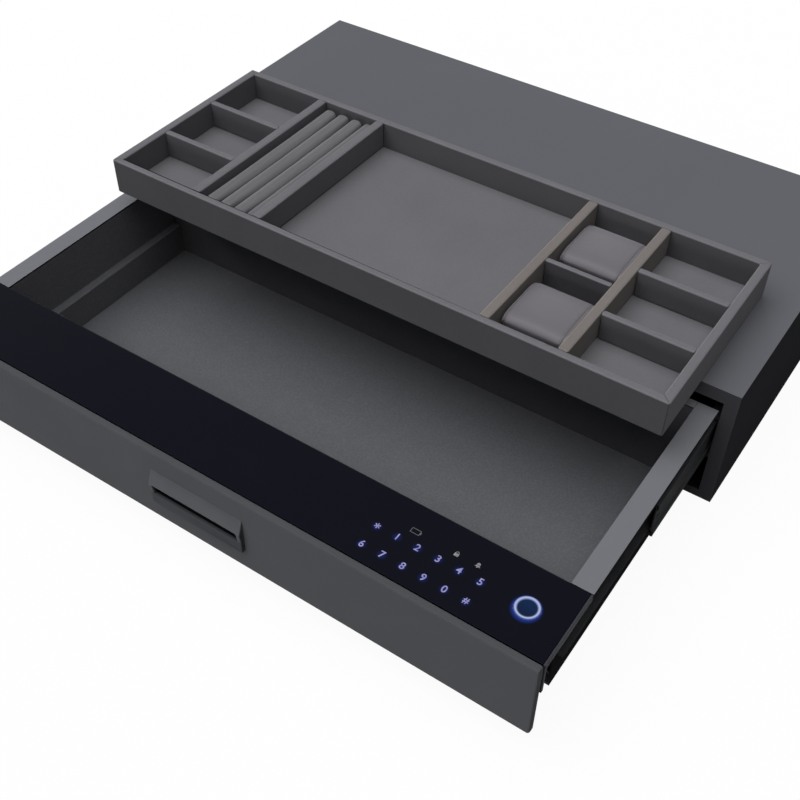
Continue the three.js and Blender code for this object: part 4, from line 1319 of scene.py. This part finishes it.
@dataclass
class ControlLedge:
    """The deck behind the front panel with its glass, keys, icons and fingertip reader."""

    body: str = "drawer"
    edge: float = 0.4 * MM
    glass_edge: float = 0.35 * MM
    reader_edge: float = 0.3 * MM
    key_pitch: float = 17.5 * MM
    key_column: float = 142.9 * MM
    row_upper: float = -413.9 * MM
    row_lower: float = -433.3 * MM
    icon_row: float = -402.5 * MM
    keys: tuple[str, str] = ("*12345", "67890#")
    digit_size: float = 8.5 * MM
    digit_swell: float = 0.12 * MM
    digit_steps: int = 4
    print_depth: float = 0.04 * MM
    pad_radius: float = 5.5 * MM
    pad_height: float = 0.1 * MM
    pad_slope: float = 0.35

    def build(self) -> None:
        """Builds and dresses the control ledge."""
        low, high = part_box("fingerprint_reader")
        reader = ((low.x + high.x) / 2, (low.y + high.y) / 2)
        glass = replace(
            GLASS,
            key_start=self.key_column,
            key_pitch=self.key_pitch,
            key_rows=(self.row_upper, self.row_lower),
            reader=reader,
        )
        refine("control_deck", DECK, self.body, self.edge)
        refine("touch_glass", glass, self.body, self.glass_edge, 2)
        refine("fingerprint_ring", replace(RING, centre=reader), self.body, self.edge)
        refine("fingerprint_reader", replace(WINDOW, centre=reader), self.body, self.reader_edge)
        paint_solid("keypad_board", BOARD)
        self.build_touch_pads()
        self.build_keys()
        self.build_icons()

    def build_touch_pads(self) -> None:
        """Sets a copper touch pad on the board under each key."""
        half = self.pad_height / 2
        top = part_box("keypad_board")[1].z
        first = Vector((self.key_column, self.row_upper, top + half))
        model = rod("touch_pad", first, self.pad_radius, self.pad_height, Axis.Z, sides=20)
        choose_faces(model, lambda normal: normal.z > FACING)
        with editing(model):
            bpy.ops.mesh.inset(thickness=self.pad_radius * self.pad_slope)
            bpy.ops.transform.translate(value=(0, 0, -half))
        columns, rows = range(len(self.keys[0])), (0, self.row_lower - self.row_upper)
        moves = [Vector((i * self.key_pitch, y, 0)) for y in rows for i in columns]
        finish_piece(repeat(model, moves, "touch_pads"), BRASS, self.body)

    def surface(self) -> float:
        """The height that the print lies at, just above the glass."""
        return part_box("touch_glass")[1].z + SEAT_GAP

    def build_keys(self) -> None:
        """Sets the ten digits and two symbols on the glass."""
        for text, y in zip(self.keys, (self.row_upper, self.row_lower)):
            for i, sign in enumerate(text):
                key = self.make_sign(sign, self.key_column + i * self.key_pitch, y)
                finish_piece(key, KEY_LIGHT, self.body)

    def make_sign(self, sign: str, x: float, y: float) -> Piece:
        """Makes one printed sign, centred on a point of the glass.

        Args:
            sign: The character.
            x: Its centre's x.
            y: Its centre's y.

        Returns:
            The sign as a thin mesh.
        """
        word, scale = SYMBOLS.get(sign, (sign, 1.0))
        clear_selection()
        bpy.ops.object.text_add()
        text = bpy.context.object
        text.data.body = sign
        text.data.size = self.digit_size * scale
        text.data.extrude = self.print_depth / 2
        text.data.offset = self.digit_swell
        text.data.resolution_u = self.digit_steps
        bpy.ops.object.convert(target="MESH")
        piece = bpy.context.object
        piece.name = piece.data.name = f"key_{word}"
        corners = [Vector(c) for c in piece.bound_box]
        middle = sum(corners, Vector()) / len(corners)
        place = Vector((x, y, self.surface() + self.print_depth / 2))
        piece.data.transform(Matrix.Translation(place - middle))
        return piece

    def build_icons(self) -> None:
        """Sets the battery, padlock and bell signs above the keys."""
        cell = Mark(-3.9, 3.9, -2.3, 2.3, wall=0.5), Mark(3.9, 4.7, -1, 1)
        lock = Mark(-1.8, 1.8, -2.4, 0.3), Mark(-1.4, 1.4, -0.8, 2, 24, 0.45)
        dome, skirt = Mark(-1.4, 1.4, -0.8, 2, 20), Mark(-1.4, 1.4, -1.2, 0.6)
        lip, clapper = Mark(-2.1, 2.1, -1.7, -1.2), Mark(-0.5, 0.5, -2.7, -1.7, 12)
        for name, x, lit, marks in (
            ("icon_battery", 168.7 * MM, ICON_LIGHT, cell),
            ("icon_padlock", 204.0 * MM, SIGN_LIGHT, lock),
            ("icon_bell", 221.7 * MM, SIGN_LIGHT, (dome, skirt, lip, clapper)),
        ):
            icon = join([self.make_mark(x, mark) for mark in marks], name)
            finish_piece(icon, lit, self.body)

    def make_mark(self, x: float, mark: Mark) -> Piece:
        """Makes one mark of the icon at an x of the icon row."""
        low = Vector((x + mark.left * MM, self.icon_row + mark.front * MM, self.surface()))
        high = low + Vector((mark.right - mark.left, mark.back - mark.front, 0)) * MM
        high.z += self.print_depth
        if mark.sides == 4:
            piece = block("mark", low, high)
        else:
            radius = (mark.right - mark.left) / 2 * MM
            piece = rod("mark", (low + high) / 2, radius, self.print_depth, Axis.Z, mark.sides)
        if mark.wall:
            hollow(piece, mark.wall * MM)
        return piece


@dataclass
class BatteryBay:
    """The control housing with its cells behind a door into the drawer."""

    body: str = "drawer"
    cells: int = 4
    housing_edge: float = 0.5 * MM
    holder_edge: float = 0.3 * MM
    edge: float = 0.4 * MM

    def build(self) -> None:
        """Builds and dresses the housing, the cells and the door."""
        refine("control_housing", PLASTIC, self.body, self.housing_edge, 2)
        refine("battery_holder", PLASTIC, self.body, self.holder_edge, 2)
        jacket = replace(JACKET, start=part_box("battery_1")[0].x)
        for number in range(1, self.cells + 1):
            refine(f"battery_{number}", jacket, self.body, self.edge, 2)
        refine("battery_door", PLASTIC, "battery_door", self.edge, 2)


@dataclass
class LockUnit:
    """The motor lock on the drawer's back."""

    body: str = "drawer"
    edge: float = 0.4 * MM
    tooth_edge: float = 0.12 * MM
    bolt_edge: float = 0.25 * MM
    screw_inset: float = 6 * MM
    screw: Screw = Screw(2.8 * MM, 1.6 * MM)

    def build(self) -> None:
        """Builds and dresses the lock."""
        for node, finish in (("lock_case", ZINC), ("lock_cover", ZINC), ("lock_motor", BOLT_STEEL)):
            refine(node, finish, self.body, self.edge, 2)
        refine("lock_pinion", BRASS, "lock_pinion", self.tooth_edge, 1)
        refine("lock_bolt", BOLT_STEEL, "lock_bolt", self.bolt_edge, 2)
        self.build_cover_screws()

    def build_cover_screws(self) -> None:
        """Fixes the cover with a screw in each corner."""
        low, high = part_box("lock_cover")
        inset = self.screw_inset
        model = self.screw.make(Vector((low.x + inset, high.y, low.z + inset)), Axis.Y, 1)
        width, height = high.x - low.x - 2 * inset, high.z - low.z - 2 * inset
        moves = [Vector((x, 0, z)) for x in (0, width) for z in (0, height)]
        finish_piece(repeat(model, moves, "lock_cover_screws"), BOLT_STEEL, self.body)


@dataclass
class JewelleryTray:
    """The cloth-covered tray with its dividers."""

    body: str = "tray"
    wrap_radius: float = 1.6 * MM
    wrap_steps: int = 4
    base_edge: float = 0.8 * MM

    def build(self) -> None:
        """Builds and dresses the tray."""
        bays = [f"cross_divider_{side}_{number}" for side in ("left", "right") for number in (1, 2)]
        refine("tray_rim", TRAY_RIM, self.body, self.wrap_radius, self.wrap_steps)
        refine("tray_base", TRAY, self.body, self.base_edge)
        for finish, nodes in (
            (TRAY, ["long_divider_1", "long_divider_2", *bays]),
            # The watch divider's cloth carries a deeper painted shade on its walls
            (TRAY_SHADE, ["cross_divider_watch"]),
            (TRIM, ["long_divider_3", "long_divider_4"]),
        ):
            for node in nodes:
                refine(node, finish, self.body, self.wrap_radius, self.wrap_steps)


@dataclass
class Cushion:
    """A stuffed piece that swells from its solid under cloth pressure."""

    node: str
    body: str
    finish: Finish
    voxel: float = 1.8 * MM
    shrink: float = 0.97
    pressure: float = 4.0
    stiffness: float = 30
    most_swell: float = 1.2 * MM
    fill: float = 0.7
    frames: int = 20
    back_gap: float = 0.0
    seams: tuple[float, ...] = ()
    seam_reach: float = 1.6 * MM
    seam_depth: float = 0.6 * MM

    def build(self) -> Piece:
        """Builds, swells, sews and dresses the cushion.

        Returns:
            The finished cushion.
        """
        piece = from_solid(self.node, f"{self.node}_cushion")
        low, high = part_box(self.node)
        centre = (low + high) / 2
        shrunk = Matrix.Diagonal((self.shrink,) * 3).to_4x4()
        piece.data.transform(Matrix.Translation(centre) @ shrunk @ Matrix.Translation(-centre))
        modify(piece, "REMESH", mode="VOXEL", voxel_size=self.voxel)
        self.swell(piece)
        modify(piece, "SUBSURF", levels=1, render_levels=1)
        take(piece)
        bpy.ops.object.shade_smooth()
        self.sew(piece, centre)
        self.fit(piece, low, high - Vector((0, self.back_gap, 0)))
        finish_piece(piece, self.finish, self.body, self.node)
        return piece

    def swell(self, piece: Piece) -> None:
        """Blows the cushion up like a stuffed cloth bag, by no more than a cap."""
        start = [v.co.copy() for v in piece.data.vertices]
        take(piece)
        cloth = piece.modifiers.new("Cloth", "CLOTH")
        cloth.settings.use_pressure = True
        cloth.settings.uniform_pressure_force = self.pressure
        cloth.settings.effector_weights.gravity = 0
        cloth.settings.tension_stiffness = self.stiffness
        cloth.point_cache.frame_start = 1
        cloth.point_cache.frame_end = self.frames
        for number in range(1, self.frames + 1):
            bpy.context.scene.frame_set(number)
        bpy.ops.object.modifier_apply(modifier=cloth.name)
        bpy.context.scene.frame_set(1)
        for vertex, old in zip(piece.data.vertices, start):
            moved = vertex.co - old
            if moved.length > self.most_swell:
                vertex.co = old + moved.normalized() * self.most_swell

    def sew(self, piece: Piece, centre: Vector) -> None:
        """Draws the cloth in along each seam, towards the cushion's middle line."""
        for vertex in piece.data.vertices:
            for at in self.seams:
                off = abs(vertex.co.x - at)
                if off < self.seam_reach:
                    pull = self.seam_depth * (1 + math.cos(math.pi * off / self.seam_reach)) / 2
                    inward = Vector((0, centre.y - vertex.co.y, centre.z - vertex.co.z))
                    vertex.co += inward.normalized() * pull

    @staticmethod
    def fit(piece: Piece, low: Vector, high: Vector) -> None:
        """Fits the cushion into the room that its solid has."""
        points = [v.co for v in piece.data.vertices]
        for axis in range(3):
            least, most = min(p[axis] for p in points), max(p[axis] for p in points)
            scale = (high[axis] - low[axis]) / (most - least)
            for point in points:
                point[axis] = low[axis] + (point[axis] - least) * scale


# Studio


@dataclass(frozen=True)
class Lamp:
    """A broad, distant lamp, with where it shines from and how wide it looks in degrees."""

    name: str
    strength: float
    way: Triple
    spread: float

    def build(self) -> None:
        """Hangs the lamp."""
        light = bpy.data.lights.new(self.name, "SUN")
        light.energy = self.strength
        light.angle = math.radians(self.spread)
        holder = bpy.data.objects.new(self.name, light)
        bpy.context.scene.collection.objects.link(holder)
        holder.rotation_euler = Vector(self.way).to_track_quat("Z", "Y").to_euler()


@dataclass
class Studio:
    """A white floor, a broad light overhead, low lamps in front and behind, and the camera."""

    lens: float = 51.338
    sensor: float = 36.0
    clip_start: float = 0.01
    position: Triple = (0.44509, -0.83894, 0.75344)
    look: Triple = (-0.3931, 0.5885, -0.7065)
    roll: float = 0.011967
    ambient: float = 0.1
    lamps: tuple[Lamp, ...] = (
        Lamp("key", 2.9, (-0.17, -0.2, 1.0), 72.0),
        Lamp("front", 0.45, (-0.05, -0.98, 0.14), 12.0),
        Lamp("back", 0.9, (-0.5, 0.8, 0.16), 20.0),
    )
    floor_size: float = 12.0
    floor_drop: float = 0.2 * MM
    floor_grey: float = 0.9
    floor_glow: float = 0.94
    floor_bounce: float = 0.15

    def build(self) -> None:
        """Builds the camera, the floor, the lamps and the world."""
        self.build_camera()
        self.build_floor()
        for lamp in self.lamps:
            lamp.build()
        self.build_world()
        bpy.context.scene.view_settings.view_transform = "Standard"

    def build_camera(self) -> None:
        """Sets the camera where the photograph was taken from."""
        camera = bpy.data.objects.new("camera", bpy.data.cameras.new("camera"))
        bpy.context.scene.collection.objects.link(camera)
        camera.data.lens = self.lens
        camera.data.sensor_width = self.sensor
        camera.data.sensor_fit = "HORIZONTAL"
        camera.data.clip_start = self.clip_start
        forward = Vector(self.look).normalized()
        right = forward.cross(Vector((0, 0, 1))).normalized()
        up = right.cross(forward)
        across = right * math.cos(self.roll) + up * math.sin(self.roll)
        upward = up * math.cos(self.roll) - right * math.sin(self.roll)
        turn = Matrix((across, upward, -forward)).transposed().to_4x4()
        camera.matrix_world = Matrix.Translation(self.position) @ turn
        bpy.context.scene.camera = camera

    def build_floor(self) -> None:
        """Adds a pale floor that keeps the shadow and looks white to the camera."""
        clear_selection()
        place = (0, 0, -self.floor_drop)
        bpy.ops.mesh.primitive_plane_add(size=self.floor_size, location=place)
        floor = settle(bpy.context.object)
        floor.name = "floor"
        material = bpy.data.materials.new("white_floor")
        material.use_nodes = True
        nodes = Nodes(material.node_tree)
        nodes.tree.nodes.clear()
        white = nodes.node("ShaderNodeEmission").outputs[0]
        shadowed = self.mixed(nodes, self.floor_glow, self.matt(nodes, self.floor_grey), white)
        dim = self.matt(nodes, self.floor_bounce)
        looks = self.mixed(nodes, self.seen_rays(nodes), dim, shadowed)
        nodes.node("ShaderNodeOutputMaterial", {"Surface": looks})
        floor.data.materials.append(material)

    @staticmethod
    def matt(nodes: Nodes, grey: float) -> Socket:
        """A matt grey."""
        return nodes.node("ShaderNodeBsdfDiffuse", {"Color": (grey, grey, grey, 1)}).outputs[0]

    @staticmethod
    def mixed(nodes: Nodes, amount: Level, first: Socket, second: Socket) -> Socket:
        """Mixes two shaders by an amount."""
        return nodes.node("ShaderNodeMixShader", {"Fac": amount, 1: first, 2: second}).outputs[0]

    @staticmethod
    def seen_rays(nodes: Nodes) -> Socket:
        """One for rays from the camera, reflections and glass, else zero."""
        ray = nodes.node("ShaderNodeLightPath").outputs
        direct = nodes.math("MAXIMUM", ray["Is Camera Ray"], ray["Is Glossy Ray"])
        return nodes.math("MAXIMUM", direct, ray["Is Transmission Ray"])

    def build_world(self) -> None:
        """Lights the room evenly and shows white behind the safe."""
        world = bpy.data.worlds.new("studio")
        world.use_nodes = True
        bpy.context.scene.world = world
        nodes = Nodes(world.node_tree)
        inputs = {"To Min": self.ambient, "To Max": 1.0, "Value": self.seen_rays(nodes)}
        level = nodes.node("ShaderNodeMapRange", inputs).outputs["Result"]
        background = nodes.tree.nodes["Background"].inputs
        nodes.feed(background["Strength"], level)
        nodes.feed(background["Color"], (1, 1, 1, 1))


def main() -> None:
    """Builds the studio and every sub-assembly in order."""
    Studio().build()
    Casing().build()
    BallSlides().build()
    DrawerBody().build()
    DrawerFront().build()
    ControlLedge().build()
    BatteryBay().build()
    LockUnit().build()
    JewelleryTray().build()
    for number in (1, 2, 3, 4):
        Cushion(f"ring_roll_{number}", "tray", ROLL, most_swell=0.8 * MM, back_gap=3 * MM).build()
    for place in ("front", "back"):
        node = f"watch_pillow_{place}"
        Cushion(node, node, PILLOW, seams=PILLOW.seams).build()


if __name__ == "__main__":
    main()
